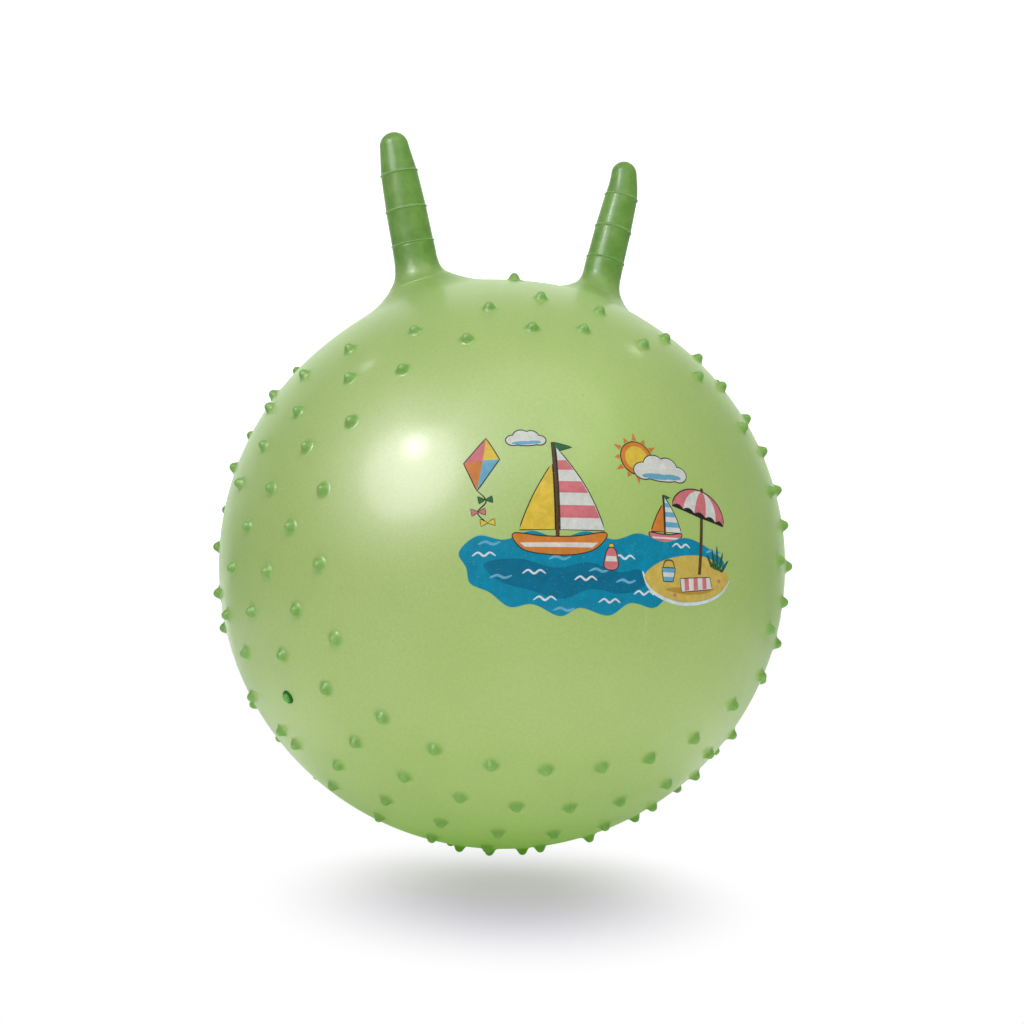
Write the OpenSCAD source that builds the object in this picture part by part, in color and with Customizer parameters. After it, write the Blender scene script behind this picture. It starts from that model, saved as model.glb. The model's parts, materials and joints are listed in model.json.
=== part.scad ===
// Hopper ball: an inflated ball with two flexing horn handles, raised nubs and a plugged valve.
// Millimetres, +Z up. The ball stands on a ring of nubs at Z 0, under its own centre.
// The horns lie on the X axis and the smooth panel for the picture faces -Y.

/* [Ball] */
// Diameter of the inflated ball
ball_d = 450; // [400:1:520]
// Thickness of the moulded skin
skin_wall = 0.8; // [0.6:0.1:1.6]
// Gap between the skin and what is seated on it
seat_gap = 0.05; // [0.02:0.01:0.1]

/* [Horn root] */
// Angle of each horn's root from the top of the ball, in degrees
root_angle = 18.3; // [17:0.1:24]
// Lean of each horn's axis from the vertical, in degrees
horn_lean = 13.1; // [10:0.1:17]
// Height of the horn's lower pivot over the ball
root_rise = 13.5; // [12:0.1:15]
// Radius of the fillet between horn and ball
flare_r = 28.5; // [24:0.5:32]
// How far the fillet stops short of its tangent line on the ball
flare_trim = 4; // [3:0.5:6]
// Diameter of the horn where the fillet ends
waist_d = 32.6; // [31:0.1:34]
// Diameter of the horn's lower knuckle
knuckle_d = 38; // [37:0.1:39]
// Drop of the knuckle's rim below the pivot
rim_drop = 1.5; // [1.2:0.1:2]
// Drop of the knuckle's lower end below the pivot
knuckle_drop = 11.5; // [9:0.5:12]
// Bore of the horn's root
root_bore_d = 24; // [20:0.5:25]

/* [Horn grip] */
// Distance from the lower pivot to the lower ring, and from each ring to the next
ring_pitch = 27.2; // [25:0.1:30]
// Diameter of the horn at its lower ring
lower_d = 31.8; // [30:0.1:32.2]
// Diameter of the horn at its middle ring
middle_d = 30.8; // [29:0.1:32]
// Diameter of the horn at its upper ring
upper_d = 27.8; // [26:0.1:30]
// Diameter of the horn's round tip
tip_d = 22.4; // [20:0.1:25]
// Length of the horn above its upper ring
tip_length = 31; // [28:0.5:36]
// Thickness of the horn's wall
horn_wall = 3; // [2:0.1:4]
// Radius of the raised rings
bead_r = 1; // [0.6:0.1:1.4]
// How deep the upper knuckle reaches below its pivot
grip_drop = 8; // [6:0.5:9]

/* [Joints] */
// Gap round both knuckles
running_gap = 0.3; // [0.25:0.05:0.5]
// How far a horn swings outwards or inwards at its lower ring, in degrees
spread_swing = 15; // [5:1:18]

/* [Nubs] */
// Height of a nub over the skin
nub_h = 5.6; // [4:0.1:8]
// Diameter of a nub's foot
nub_d = 10.6; // [9:0.1:13]
// Diameter of a nub's round tip
nub_tip_d = 5; // [4:0.1:6]
// Rise of the smooth panel's middle over the ball's middle, in degrees
panel_rise = 5.6; // [0:0.1:10]
// Angle of the standing nubs from the bottom of the ball, in degrees
stand_angle = 9; // [8:0.5:11]
// Number of standing nubs
stand_count = 8; // [6:1:10]

/* [Valve] */
// Bearing of the valve from the panel's side, in degrees
valve_bearing = 65.7; // [60:0.1:70]
// Drop of the valve below the ball's middle, in degrees
valve_drop = 26.2; // [20:0.1:30]
// Diameter of the plug's head
plug_head_d = 10; // [9:0.1:12]
// Thickness of the plug's head at its rim
plug_head_h = 1.2; // [1:0.1:2]
// Height of the dome on the plug's head
plug_dome_h = 3.6; // [2.8:0.1:4.2]
// Diameter of the plug's stem
plug_stem_d = 7; // [6:0.1:8]
// Length of the plug's stem
plug_stem_length = 18; // [14:0.5:22]
// Length of the taper at the stem's end
plug_taper = 3; // [2:0.5:4]
// Diameter of the stem's end
plug_nose_d = 5; // [4:0.1:6]
// Running clearance round the stem, on the radius
stem_clearance = 0.06; // [0.04:0.01:0.09]
// Clearance round the plug's head, on the radius
head_clearance = 0.4; // [0.3:0.1:0.8]
// Diameter of the thick seat inside the skin
seat_d = 22; // [18:0.5:26]
// Depth of the seat below the skin's inner face
seat_depth = 9; // [7:0.5:12]
// Depth of the flat under the plug's head
seat_flat = 0.5; // [0.4:0.1:1]

/* [Hidden] */
$fn = 96;

ball_r = ball_d / 2;
nub_tip_r = nub_tip_d / 2;
// Overrun of the cuts
cut = 4;
// How far a nub's outline runs on below the skin before the ball is cut out of it
nub_sink = 1;
// Sides of the ball's circle in an outline, where small pieces meet the ball
ball_sides = 1440;

// The ball's middle is as high as the lowest standing nub needs
ball_z = (ball_r + nub_h - nub_tip_r) * cos(stand_angle) + nub_tip_r;

// Lower pivot of a horn, over the ball's middle and along the root's own axis
pivot_h = ball_r + root_rise;
waist_r = waist_d / 2;
knuckle_r = knuckle_d / 2;
// Middle of the fillet's circle, seen from the lower pivot: it touches the waist and the ball
flare_x = waist_r + flare_r;
flare_z = sqrt(pow(ball_r + flare_r, 2) - pow(flare_x, 2)) - pivot_h;
// Where the fillet touches the ball
touch_share = ball_r / (ball_r + flare_r);
touch_x = flare_x * touch_share;
touch_z = (flare_z + pivot_h) * touch_share - pivot_h;

// Upper pivot of a horn, along the horn's axis from the lower one
lower_r = lower_d / 2;
// The knuckle's lip covers the whole swing, and this much more
lip_margin_angle = 2;
lip_angle = spread_swing + lip_margin_angle;
grip_pivot = ring_pitch + (lower_r + running_gap) * sin(lip_angle);
middle_z = 2 * ring_pitch;
upper_z = 3 * ring_pitch;

// The rows of nubs run round the panel's middle. A place in a row has a clock angle, counted
// from the top, and an angle out from the panel's middle.
first_side_angle = 51;
first_top_angle = 44.5;
side_step_angle = 7;
top_step_angle = 9;
foot_step_angle = 11.3;
side_power = 2.3;
foot_power = 2.6;
side_turn_angle = 2;
// Each row: first clock angle, step and count at the sides, then the same at the foot, counted
// up from the bottom, and the turn of the foot
row_clock_angles = [
    [7, 17.25, 7, 7.5, 13.7, 4, 2],
    [13.5, 17.7, 7, 6.2, 12.4, 4, -2],
    [42, 17, 5, 6, 11.7, 5, -2],
    [50, 16.7, 5, 5.5, 11, 5, -1],
    [41, 16.6, 6, 0, 11, 0, 0],
    [49.5, 16.6, 5, 0, 11, 0, 0]
];
// Two more nubs stand between the horns
crown_angles = [57, 75];
// Nubs keep clear of the mould's parting plane, the horns, the valve and the standing ring
seam_clear_angle = 3.2;
horn_clear_angle = 12.5;
valve_clear_angle = 5;
stand_spread_angle = 5;
stand_clear_angle = stand_angle + stand_spread_angle;

function row_angle(clock, side_angle, end_angle, power) =
    pow(pow(abs(sin(clock)) / side_angle, power)
        + pow(abs(cos(clock)) / end_angle, power), -1 / power);

// Direction of a place in the pattern, as a unit vector from the ball's middle
function aim(clock, out) = [
    sin(out) * sin(clock),
    sin(out) * cos(clock) * sin(panel_rise) - cos(out) * cos(panel_rise),
    sin(out) * cos(clock) * cos(panel_rise) + cos(out) * sin(panel_rise)
];

function side_place(row, index, side) =
    let (clock = row_clock_angles[row][0] + row_clock_angles[row][1] * index,
         out = row_angle(clock, first_side_angle + side_step_angle * row,
                         first_top_angle + top_step_angle * row, side_power))
    aim(side * clock - side_turn_angle, out);

function foot_place(row, index, side) =
    let (clock = 180 - row_clock_angles[row][3] - row_clock_angles[row][4] * index,
         out = row_angle(clock, first_side_angle + side_step_angle * row,
                         first_top_angle + foot_step_angle * row, foot_power))
    aim(side * clock - row_clock_angles[row][6], out);

valve_aim = [
    -sin(valve_bearing) * cos(valve_drop),
    -cos(valve_bearing) * cos(valve_drop),
    -sin(valve_drop)
];
horn_aims = [for (side = [-1, 1]) [side * sin(root_angle), 0, cos(root_angle)]];

function apart(a, b) = acos(min(1, a * b));

// Where a flank that starts at a foot touches a round tip, in an outline
function tangent(foot, tip_z, tip_r) =
    let (reach = [0, tip_z] - foot,
         turn = atan2(reach.y, reach.x) - asin(tip_r / norm(reach)))
    foot + sqrt(reach * reach - tip_r * tip_r) * [cos(turn), sin(turn)];

function stands_free(place) =
    place.y < -sin(seam_clear_angle)
    && place.z > -cos(stand_clear_angle)
    && apart(place, horn_aims[0]) > horn_clear_angle
    && apart(place, horn_aims[1]) > horn_clear_angle;

half_places = [
    for (row = [0 : len(row_clock_angles) - 1], side = [-1, 1])
        for (place = concat(
            [for (index = [0 : 1 : row_clock_angles[row][2] - 1]) side_place(row, index, side)],
            [for (index = [0 : 1 : row_clock_angles[row][5] - 1]) foot_place(row, index, side)]))
            if (stands_free(place)) place,
    for (out = crown_angles) aim(-side_turn_angle, out)
];

// Turns +Z to a direction from the ball's middle
module along(direction) {
    translate([0, 0, ball_z])
        rotate([0, acos(direction.z), atan2(direction.y, direction.x)])
            children();
}

module at_neck() {
    translate([0, 0, ball_z])
        rotate([0, root_angle, 0])
            translate([0, 0, pivot_h])
                children();
}

module at_horn() {
    at_neck() rotate([0, horn_lean - root_angle, 0]) children();
}

module disc(radius, height, sides = $fn) {
    translate([0, height]) circle(r = radius, $fn = sides);
}

// The part of an outline right of the axis, between two heights
module between(low, high, reach) {
    intersection() {
        translate([0, low]) square([reach, high - low]);
        children();
    }
}

module ball_skin() {
    color([0.64, 0.78, 0.45])
        difference() {
            translate([0, 0, ball_z]) sphere(r = ball_r);
            translate([0, 0, ball_z]) sphere(r = ball_r - skin_wall);
            for (side = [0, 1])
                mirror([side, 0, 0])
                    at_neck() sphere(r = knuckle_r + running_gap);
            along(valve_aim)
                translate([0, 0, ball_r - skin_wall - cut])
                    cylinder(h = skin_wall + 2 * cut, r = plug_head_d / 2 + head_clearance);
        }
}

module nub() {
    tip_z = nub_h - nub_tip_r;
    touch = tangent([nub_d / 2, 0], tip_z, nub_tip_r);
    // The flank runs on down into the ball's circle
    below = (nub_d / 2 - touch.x) / touch.y * nub_sink;
    translate([0, 0, ball_r])
        rotate_extrude()
            difference() {
                union() {
                    polygon([[0, -nub_sink], [nub_d / 2 + below, -nub_sink], touch, [0, touch.y]]);
                    between(touch.y, nub_h, nub_tip_r) disc(nub_tip_r, tip_z);
                }
                disc(ball_r + seat_gap, -ball_r, ball_sides);
            }
}

module front_nubs() {
    color([0.45, 0.66, 0.32])
        for (place = half_places)
            if (apart(place, valve_aim) > valve_clear_angle) along(place) nub();
}

module back_nubs() {
    color([0.45, 0.66, 0.32])
        rotate([0, 0, 180])
            for (place = half_places) along(place) nub();
}

module stand_nubs() {
    color([0.45, 0.66, 0.32])
        translate([0, 0, ball_z])
            for (index = [0 : stand_count - 1])
                rotate([180 - stand_angle, 0, (index + 1 / 2) * 360 / stand_count]) nub();
}

module horn_neck() {
    color([0.52, 0.7, 0.38])
        at_neck()
            rotate_extrude()
                difference() {
                    translate([0, touch_z - cut])
                        square([touch_x - flare_trim, cut - touch_z - rim_drop]);
                    translate([flare_x, flare_z]) circle(r = flare_r);
                    disc(ball_r + seat_gap, -pivot_h, ball_sides);
                    disc(knuckle_r + running_gap, 0);
                }
}

module horn_root() {
    color([0.42, 0.6, 0.32])
        at_horn()
            rotate_extrude()
                difference() {
                    union() {
                        between(-knuckle_drop, -rim_drop / 2, knuckle_r) disc(knuckle_r, 0);
                        difference() {
                            translate([0, -rim_drop / 2])
                                square([knuckle_r, flare_z + rim_drop / 2]);
                            translate([flare_x, flare_z]) circle(r = flare_r);
                        }
                        polygon([[0, flare_z], [waist_r, flare_z], [waist_r, ring_pitch],
                                 [0, ring_pitch]]);
                        translate([waist_r, ring_pitch - bead_r]) circle(r = bead_r);
                    }
                    translate([0, -knuckle_drop - cut])
                        square([root_bore_d / 2, knuckle_drop + ring_pitch + 2 * cut]);
                    disc(lower_r + running_gap, grip_pivot);
                }
}

// The horn above its lower ring, drawn in by a wall's thickness
module grip_outline(wall) {
    tip_r = tip_d / 2 - wall;
    tip_z = upper_z + tip_length - tip_d / 2;
    touch = tangent([upper_d / 2 - wall, upper_z], tip_z, tip_r);
    polygon([[0, grip_pivot], [lower_r - wall, grip_pivot], [middle_d / 2 - wall, middle_z],
             [upper_d / 2 - wall, upper_z], touch, [0, touch.y]]);
    between(touch.y, tip_z + tip_r, tip_r) disc(tip_r, tip_z);
}

module horn_grip() {
    color([0.42, 0.6, 0.32])
        at_horn()
            rotate_extrude()
                difference() {
                    union() {
                        between(grip_pivot - grip_drop, grip_pivot, lower_r)
                            disc(lower_r, grip_pivot);
                        grip_outline(0);
                        translate([middle_d / 2, middle_z]) circle(r = bead_r);
                        translate([upper_d / 2, upper_z]) circle(r = bead_r);
                    }
                    grip_outline(horn_wall);
                    translate([0, grip_pivot - grip_drop - cut])
                        square([lower_r - horn_wall, grip_drop + cut]);
                }
}

module valve_seat() {
    seat_top = ball_r - skin_wall - seat_gap;
    color([0.5, 0.68, 0.36])
        along(valve_aim)
            rotate_extrude()
                difference() {
                    intersection() {
                        disc(seat_top, 0, ball_sides);
                        translate([plug_stem_d / 2 + stem_clearance, seat_top - seat_depth])
                            square([seat_d / 2 - plug_stem_d / 2 - stem_clearance, seat_depth + cut]);
                    }
                    translate([0, seat_top - seat_flat])
                        square([plug_head_d / 2 + head_clearance, seat_flat + cut]);
                }
}

module valve_plug() {
    head_z = ball_r - skin_wall - seat_flat;
    head_top = head_z + plug_head_h + plug_dome_h;
    head_r = plug_head_d / 2;
    dome_r = (pow(head_r, 2) + pow(plug_dome_h, 2)) / (2 * plug_dome_h);
    straight = plug_stem_length - plug_taper;
    color([0.12, 0.42, 0.16])
        along(valve_aim) {
            rotate_extrude()
                between(head_z, head_top, head_r) disc(dome_r, head_top - dome_r);
            translate([0, 0, head_z - straight])
                cylinder(h = straight + plug_head_h, r = plug_stem_d / 2);
            translate([0, 0, head_z - plug_stem_length])
                cylinder(h = plug_taper, r1 = plug_nose_d / 2, r2 = plug_stem_d / 2);
        }
}

module left_horn_neck() { mirror([1, 0, 0]) horn_neck(); }
module right_horn_neck() { horn_neck(); }
module left_horn_root() { mirror([1, 0, 0]) horn_root(); }
module right_horn_root() { horn_root(); }
module left_horn_grip() { mirror([1, 0, 0]) horn_grip(); }
module right_horn_grip() { horn_grip(); }

ball_skin();
front_nubs();
back_nubs();
stand_nubs();
left_horn_neck();
right_horn_neck();
left_horn_root();
right_horn_root();
left_horn_grip();
right_horn_grip();
valve_seat();
valve_plug();
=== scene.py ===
"""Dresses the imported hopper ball: skin, horns, nubs, valve plug and the printed seaside picture.

Every surface is worked out as a function of two parameters, in metres, in the frame of the
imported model: +Z up, the horns at -X and +X, the picture facing -Y.
"""
from __future__ import annotations

import json
import logging
import math
from dataclasses import dataclass, field, replace
from enum import Enum
from typing import Sequence

import bpy
import numpy as np
from mathutils import Matrix, Vector
from mathutils.geometry import delaunay_2d_cdt

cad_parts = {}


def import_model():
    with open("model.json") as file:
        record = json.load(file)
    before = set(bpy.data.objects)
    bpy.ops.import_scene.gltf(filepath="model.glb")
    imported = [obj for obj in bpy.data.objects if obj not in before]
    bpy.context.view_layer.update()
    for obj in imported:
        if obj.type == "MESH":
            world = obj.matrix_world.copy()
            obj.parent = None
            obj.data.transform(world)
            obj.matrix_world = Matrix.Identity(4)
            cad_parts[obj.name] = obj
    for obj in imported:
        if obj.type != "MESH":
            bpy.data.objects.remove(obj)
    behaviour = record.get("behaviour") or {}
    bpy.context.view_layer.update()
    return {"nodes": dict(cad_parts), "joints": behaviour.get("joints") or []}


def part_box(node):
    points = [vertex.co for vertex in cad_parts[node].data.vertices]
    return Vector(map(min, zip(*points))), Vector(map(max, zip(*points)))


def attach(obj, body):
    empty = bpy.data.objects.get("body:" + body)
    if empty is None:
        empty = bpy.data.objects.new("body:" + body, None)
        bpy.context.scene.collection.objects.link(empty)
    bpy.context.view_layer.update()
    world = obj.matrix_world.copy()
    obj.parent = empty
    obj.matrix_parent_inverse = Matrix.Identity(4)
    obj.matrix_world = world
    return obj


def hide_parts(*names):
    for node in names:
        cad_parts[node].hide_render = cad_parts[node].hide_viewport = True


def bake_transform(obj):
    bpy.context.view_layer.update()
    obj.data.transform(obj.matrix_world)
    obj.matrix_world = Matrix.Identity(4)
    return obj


Array = np.ndarray
Output = bpy.types.NodeSocket
Outputs = dict[str, Output]
Pair = tuple[float, float]
Triple = tuple[float, float, float]
Rgba = tuple[float, float, float, float]
LOG = logging.getLogger("hopper_ball")
MM = 0.001
WHITE = (1.0, 1.0, 1.0, 1.0)
BLACK = (0.0, 0.0, 0.0, 1.0)
# What a length is at least, where something is divided by it
TINY = 1e-9


# Shapes


def unit(vector: Sequence[float]) -> Array:
    """Returns the vector at length 1."""
    array = np.asarray(vector, float)
    return array / np.linalg.norm(array)


def units(vectors: Array) -> Array:
    """Each row at length 1."""
    return vectors / np.linalg.norm(vectors, axis=1, keepdims=True)


def frame_along(axis: Sequence[float]) -> Array:
    """A right-handed frame whose third column is the axis.

    Args:
        axis: direction of the frame's own Z.

    Returns:
        A 3 by 3 matrix whose columns are the frame's X, Y and Z.
    """
    z = unit(axis)
    helper = np.array([0.0, 1.0, 0.0]) if abs(z[1]) < 0.9 else np.array([1.0, 0.0, 0.0])
    x = unit(np.cross(helper, z))
    return np.column_stack([x, np.cross(z, x), z])


def towards(bearing: float, rise: float) -> Array:
    """(sin b cos r, -cos b cos r, sin r), b degrees right of the panel's side and r degrees up."""
    b, r = math.radians(bearing), math.radians(rise)
    return np.array([math.sin(b) * math.cos(r), -math.cos(b) * math.cos(r), math.sin(r)])


def bell(values: Array, middle: float, half_width: float) -> Array:
    """A bell curve round its middle: e^-((v - middle) / half_width)^2."""
    return np.exp(-(((values - middle) / half_width) ** 2))


def smooth_step(values: Array, low: float, high: float) -> Array:
    """Rises from 0 at low to 1 at high along 3t^2 - 2t^3."""
    t = np.clip((values - low) / (high - low), 0.0, 1.0)
    return t * t * (3.0 - 2.0 * t)


@dataclass
class Surface:
    """A mesh in the making.

    Attributes:
        points: n by 3 places.
        faces: lists of point numbers, counted outwards.
        rows: for each point, the row of the profile that it came from.
    """

    points: Array
    faces: list[list[int]]
    rows: Array


def turned(profile: Array, sides: int) -> Surface:
    """Turns a profile about Z: point = (r cos a, r sin a, s) for each row (r, s) and angle a.

    The profile starts and ends on the axis, and runs up its outer side, so that faces point
    outwards. Each end is one closed pole.

    Args:
        profile: m by 2 rows of radius and height.
        sides: number of steps round the axis.

    Returns:
        The closed surface.
    """
    angles = np.arange(sides) * (2.0 * math.pi / sides)
    inner = profile[1:-1]
    ring = np.stack([np.cos(angles), np.sin(angles)], axis=1)
    body = np.empty((len(inner), sides, 3))
    body[:, :, :2] = inner[:, None, :1] * ring[None]
    body[:, :, 2] = inner[:, None, 1]
    ends = np.array([[0.0, 0.0, profile[0, 1]], [0.0, 0.0, profile[-1, 1]]])
    points = np.concatenate([body.reshape(-1, 3), ends])
    step = np.arange(sides)
    after = (step + 1) % sides
    low = np.arange(len(inner) - 1)[:, None] * sides
    quads = np.stack(
        [low + step, low + after, low + sides + after, low + sides + step], axis=2
    ).reshape(-1, 4)
    first, last = len(points) - 2, len(points) - 1
    top = (len(inner) - 1) * sides
    foot_fan = np.stack([np.full(sides, first), after, step], axis=1)
    top_fan = np.stack([np.full(sides, last), top + step, top + after], axis=1)
    faces = quads.tolist() + foot_fan.tolist() + top_fan.tolist()
    rows = np.concatenate([np.repeat(np.arange(1, len(profile) - 1), sides), [0, len(profile) - 1]])
    return Surface(points, faces, rows)


def ellipse(x: float, y: float, half_width: float, half_height: float, angles: Array) -> Array:
    """Points (x + half_width cos a, y + half_height sin a) of an ellipse round (x, y)."""
    return np.stack([x + half_width * np.cos(angles), y + half_height * np.sin(angles)], axis=1)


def curve_through(guides: Sequence[Array], steps: int) -> Array:
    """Points of the cubic curve with four guides: the sum of guide k times C(3,k) (1-t)^(3-k) t^k.

    Args:
        guides: its first point, two guides and its last point.
        steps: number of points.

    Returns:
        The points, ends included.
    """
    t = np.linspace(0.0, 1.0, steps)[:, None]
    shares = ((1 - t) ** 3, 3 * (1 - t) ** 2 * t, 3 * (1 - t) * t**2, t**3)
    return sum(share * guide for share, guide in zip(shares, guides))


def colour(red: int, green: int, blue: int) -> Rgba:
    """The linear colour that shaders read, of a display colour whose parts go up to 255."""
    share = np.array([red, green, blue]) / 255.0
    linear = np.where(share <= 0.04045, share / 12.92, ((share + 0.055) / 1.055) ** 2.4)
    return (*linear.tolist(), 1.0)


class Body(Enum):
    """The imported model's moving bodies."""

    BALL = "ball"
    PLUG = "plug"
    LEFT_ROOT = "left_root"
    LEFT_GRIP = "left_grip"
    RIGHT_ROOT = "right_root"
    RIGHT_GRIP = "right_grip"


class Slot(Enum):
    """The record's material slots."""

    SKIN = "skin"
    NUBS = "nubs"
    NECKS = "horn_necks"
    HORNS = "horns"
    PLUG = "plug"


@dataclass
class Piece:
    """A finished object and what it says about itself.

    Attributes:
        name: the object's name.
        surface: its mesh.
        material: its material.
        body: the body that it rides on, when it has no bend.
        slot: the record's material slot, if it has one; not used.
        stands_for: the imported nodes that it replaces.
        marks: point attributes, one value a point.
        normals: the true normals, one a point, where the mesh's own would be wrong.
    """

    name: str
    surface: Surface
    material: bpy.types.Material
    body: Body
    slot: Slot | None = None
    stands_for: tuple[str, ...] = ()
    marks: dict[str, Array] = field(default_factory=dict)
    normals: Array | None = None

    def build(self, bend: Bend | None = None) -> None:
        """Makes the object, with its place in its mesh, and hangs it on its body unless it has a bend.

        Args:
            bend: where it would bend between two bodies; if given, the object is left unhung and the bend's
                values are not used.
        """
        mesh = bpy.data.meshes.new(self.name)
        mesh.from_pydata(self.surface.points.tolist(), [], self.surface.faces)
        mesh.update()
        mesh.polygons.foreach_set("use_smooth", np.ones(len(mesh.polygons), bool))
        for name, values in self.marks.items():
            kind, key = ("FLOAT_COLOR", "color") if values.ndim == 2 else ("FLOAT", "value")
            mark = mesh.attributes.new(name, kind, "POINT")
            mark.data.foreach_set(key, values.astype(np.float32).ravel())
        if self.normals is not None:
            mesh.normals_split_custom_set_from_vertices(self.normals.tolist())
        mesh.materials.append(self.material)
        made = bpy.data.objects.new(self.name, mesh)
        bpy.context.scene.collection.objects.link(made)
        if bend is None:
            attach(made, self.body.value)
        else:
            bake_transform(made)
        if self.stands_for:
            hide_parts(*self.stands_for)
        LOG.info("%s: %d points, %d faces", self.name, len(mesh.vertices), len(mesh.polygons))


@dataclass(frozen=True)
class Bend:
    """Where a piece would turn from one body's motion to another's; nothing here applies it.

    Attributes:
        still: the body that it would follow before start; not used.
        moved: the body that it would follow after end; not used.
        start: where the turn would begin; not used.
        end: where it would be complete; not used.
    """

    still: Body
    moved: Body
    start: Triple
    end: Triple


# Finishes


class Nodes:
    """Adds nodes to a tree and joins them."""

    def __init__(self, tree: bpy.types.NodeTree) -> None:
        """Keeps the tree and clears it."""
        self.tree = tree
        tree.nodes.clear()

    def add(
        self, kind: str, inputs: dict[str | int, object] | None = None, **settings: object
    ) -> bpy.types.Node:
        """Adds one node.

        Args:
            kind: the node's type name.
            inputs: for each input, a value or the output that feeds it.
            settings: the node's own properties.

        Returns:
            The new node.
        """
        node = self.tree.nodes.new(kind)
        for name, value in settings.items():
            setattr(node, name, value)
        for key, value in (inputs or {}).items():
            if isinstance(value, Output):
                self.tree.links.new(value, node.inputs[key])
            else:
                node.inputs[key].default_value = value
        return node

    def math(self, operation: str, *values: object, clamp: bool = False) -> Output:
        """Adds a Math node and returns its output."""
        node = self.add("ShaderNodeMath", dict(enumerate(values)), operation=operation, use_clamp=clamp)
        return node.outputs[0]

    def times(self, first: object, second: object) -> Output:
        """The product of two numbers."""
        return self.math("MULTIPLY", first, second)

    def rest(self, value: object) -> Output:
        """What is left of 1 after the value."""
        return self.math("SUBTRACT", 1.0, value)

    def between(self, share: object, first: float, second: float) -> Output:
        """Goes from the first number to the second one with the share."""
        return self.math("MULTIPLY_ADD", share, second - first, first)

    def mix(self, share: object, first: object, second: object, blend: str = "MIX") -> Output:
        """Mixes two colours by a share and returns the result."""
        inputs = {0: share, 6: first, 7: second}
        return self.add("ShaderNodeMix", inputs, data_type="RGBA", blend_type=blend).outputs[2]

    def tinted(self, first: object, second: object) -> Output:
        """Multiplies two colours."""
        return self.mix(1.0, first, second, "MULTIPLY")

    def step(self, value: object, low: float, high: float) -> Output:
        """Rises smoothly from 0 at low to 1 at high."""
        inputs = {0: value, 1: low, 2: high, 3: 0.0, 4: 1.0}
        return self.add("ShaderNodeMapRange", inputs, interpolation_type="SMOOTHSTEP").outputs[0]

    def noise(self, place: object, scale: object, detail: float = 2.0, roughness: float = 0.5) -> Output:
        """Adds a noise and returns its value, about 0.5 on average."""
        inputs = {"Vector": place, "Scale": scale, "Detail": detail, "Roughness": roughness}
        return self.add("ShaderNodeTexNoise", inputs).outputs[0]

    def dot(self, place: object, aim: Triple) -> Output:
        """How far a place lies in a direction."""
        node = self.add("ShaderNodeVectorMath", {0: place, 1: aim}, operation="DOT_PRODUCT")
        return node.outputs["Value"]

    def length(self, place: object) -> Output:
        """How far a place lies from zero."""
        return self.add("ShaderNodeVectorMath", {0: place}, operation="LENGTH").outputs["Value"]

    def place(self) -> Output:
        """A point's place on its own object."""
        return self.add("ShaderNodeTexCoord").outputs["Object"]

    def mark(self, name: str, output: str = "Fac") -> Output:
        """The point attribute of that name."""
        return self.add("ShaderNodeAttribute", attribute_name=name).outputs[output]

    def end(self, shader: bpy.types.Node, kind: str = "ShaderNodeOutputMaterial") -> None:
        """Feeds the shader to the tree's own output."""
        self.add(kind, {0: shader.outputs[0]})


def new_material(name: str) -> tuple[bpy.types.Material, Nodes]:
    """Makes an empty material of that name, and what adds nodes to it."""
    made = bpy.data.materials.new(name)
    made.use_nodes = True
    return made, Nodes(made.node_tree)


FLOAT = "NodeSocketFloat"
COLOUR = "NodeSocketColor"
VECTOR = "NodeSocketVector"


class Group:
    """A node group that its materials share.

    Attributes:
        name: its name.
        inputs: for each input, its kind and its value when nothing feeds it.
        outputs: for each output, its kind.
    """

    name: str
    inputs: dict[str, tuple[str, float | None]]
    outputs: dict[str, str]

    def fill(self, nodes: Nodes, given: Outputs) -> Outputs:
        """Makes its nodes.

        Args:
            nodes: adds nodes to it.
            given: its inputs.

        Returns:
            What feeds each output.
        """
        raise NotImplementedError

    def add_to(self, nodes: Nodes, inputs: dict[str, object]) -> bpy.types.Node:
        """Adds the group to a material, and builds it on its first use.

        Args:
            nodes: adds nodes to the material.
            inputs: for each input, a value or the output that feeds it.

        Returns:
            The group's node.
        """
        tree = bpy.data.node_groups.get(self.name)
        if tree is None:
            tree = bpy.data.node_groups.new(self.name, "ShaderNodeTree")
            own = Nodes(tree)
            for name, (kind, value) in self.inputs.items():
                made = tree.interface.new_socket(name, in_out="INPUT", socket_type=kind)
                if value is not None:
                    made.default_value = value
            for name, kind in self.outputs.items():
                tree.interface.new_socket(name, in_out="OUTPUT", socket_type=kind)
            given = own.add("NodeGroupInput").outputs
            own.add("NodeGroupOutput", self.fill(own, {name: given[name] for name in self.inputs}))
        return nodes.add("ShaderNodeGroup", inputs, node_tree=tree)


class PearlTone(Group):
    """The slow drift of a pearly colour between two near tones, with a fine grain on top."""

    name = "Pearl tone"
    inputs = {
        "Place": (VECTOR, None),
        "Light": (COLOUR, None),
        "Deep": (COLOUR, None),
        "Scale": (FLOAT, 6.0),
        "Strength": (FLOAT, 0.5),
        "Grain": (FLOAT, 0.15),
    }
    outputs = {"Colour": COLOUR}

    def fill(self, nodes: Nodes, given: Outputs) -> Outputs:
        """Mixes the tones by a wide noise and a narrow one, and darkens them by the grain."""
        place, scale = given["Place"], given["Scale"]
        wide = nodes.step(nodes.noise(place, scale, 3.0), 0.3, 0.7)
        narrow = nodes.noise(place, nodes.times(scale, 60.0), 2.0)
        drift = nodes.math("ADD", wide, nodes.times(nodes.math("SUBTRACT", narrow, 0.5), 1.5))
        share = nodes.math("MULTIPLY", drift, given["Strength"], clamp=True)
        grain = nodes.noise(place, nodes.times(scale, 90.0), 1.0)
        plain = nodes.math("MULTIPLY_ADD", given["Grain"], -0.5, 1.0)
        shade = nodes.math("MULTIPLY_ADD", grain, given["Grain"], plain)
        return {"Colour": nodes.tinted(nodes.mix(share, given["Light"], given["Deep"]), shade)}


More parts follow.
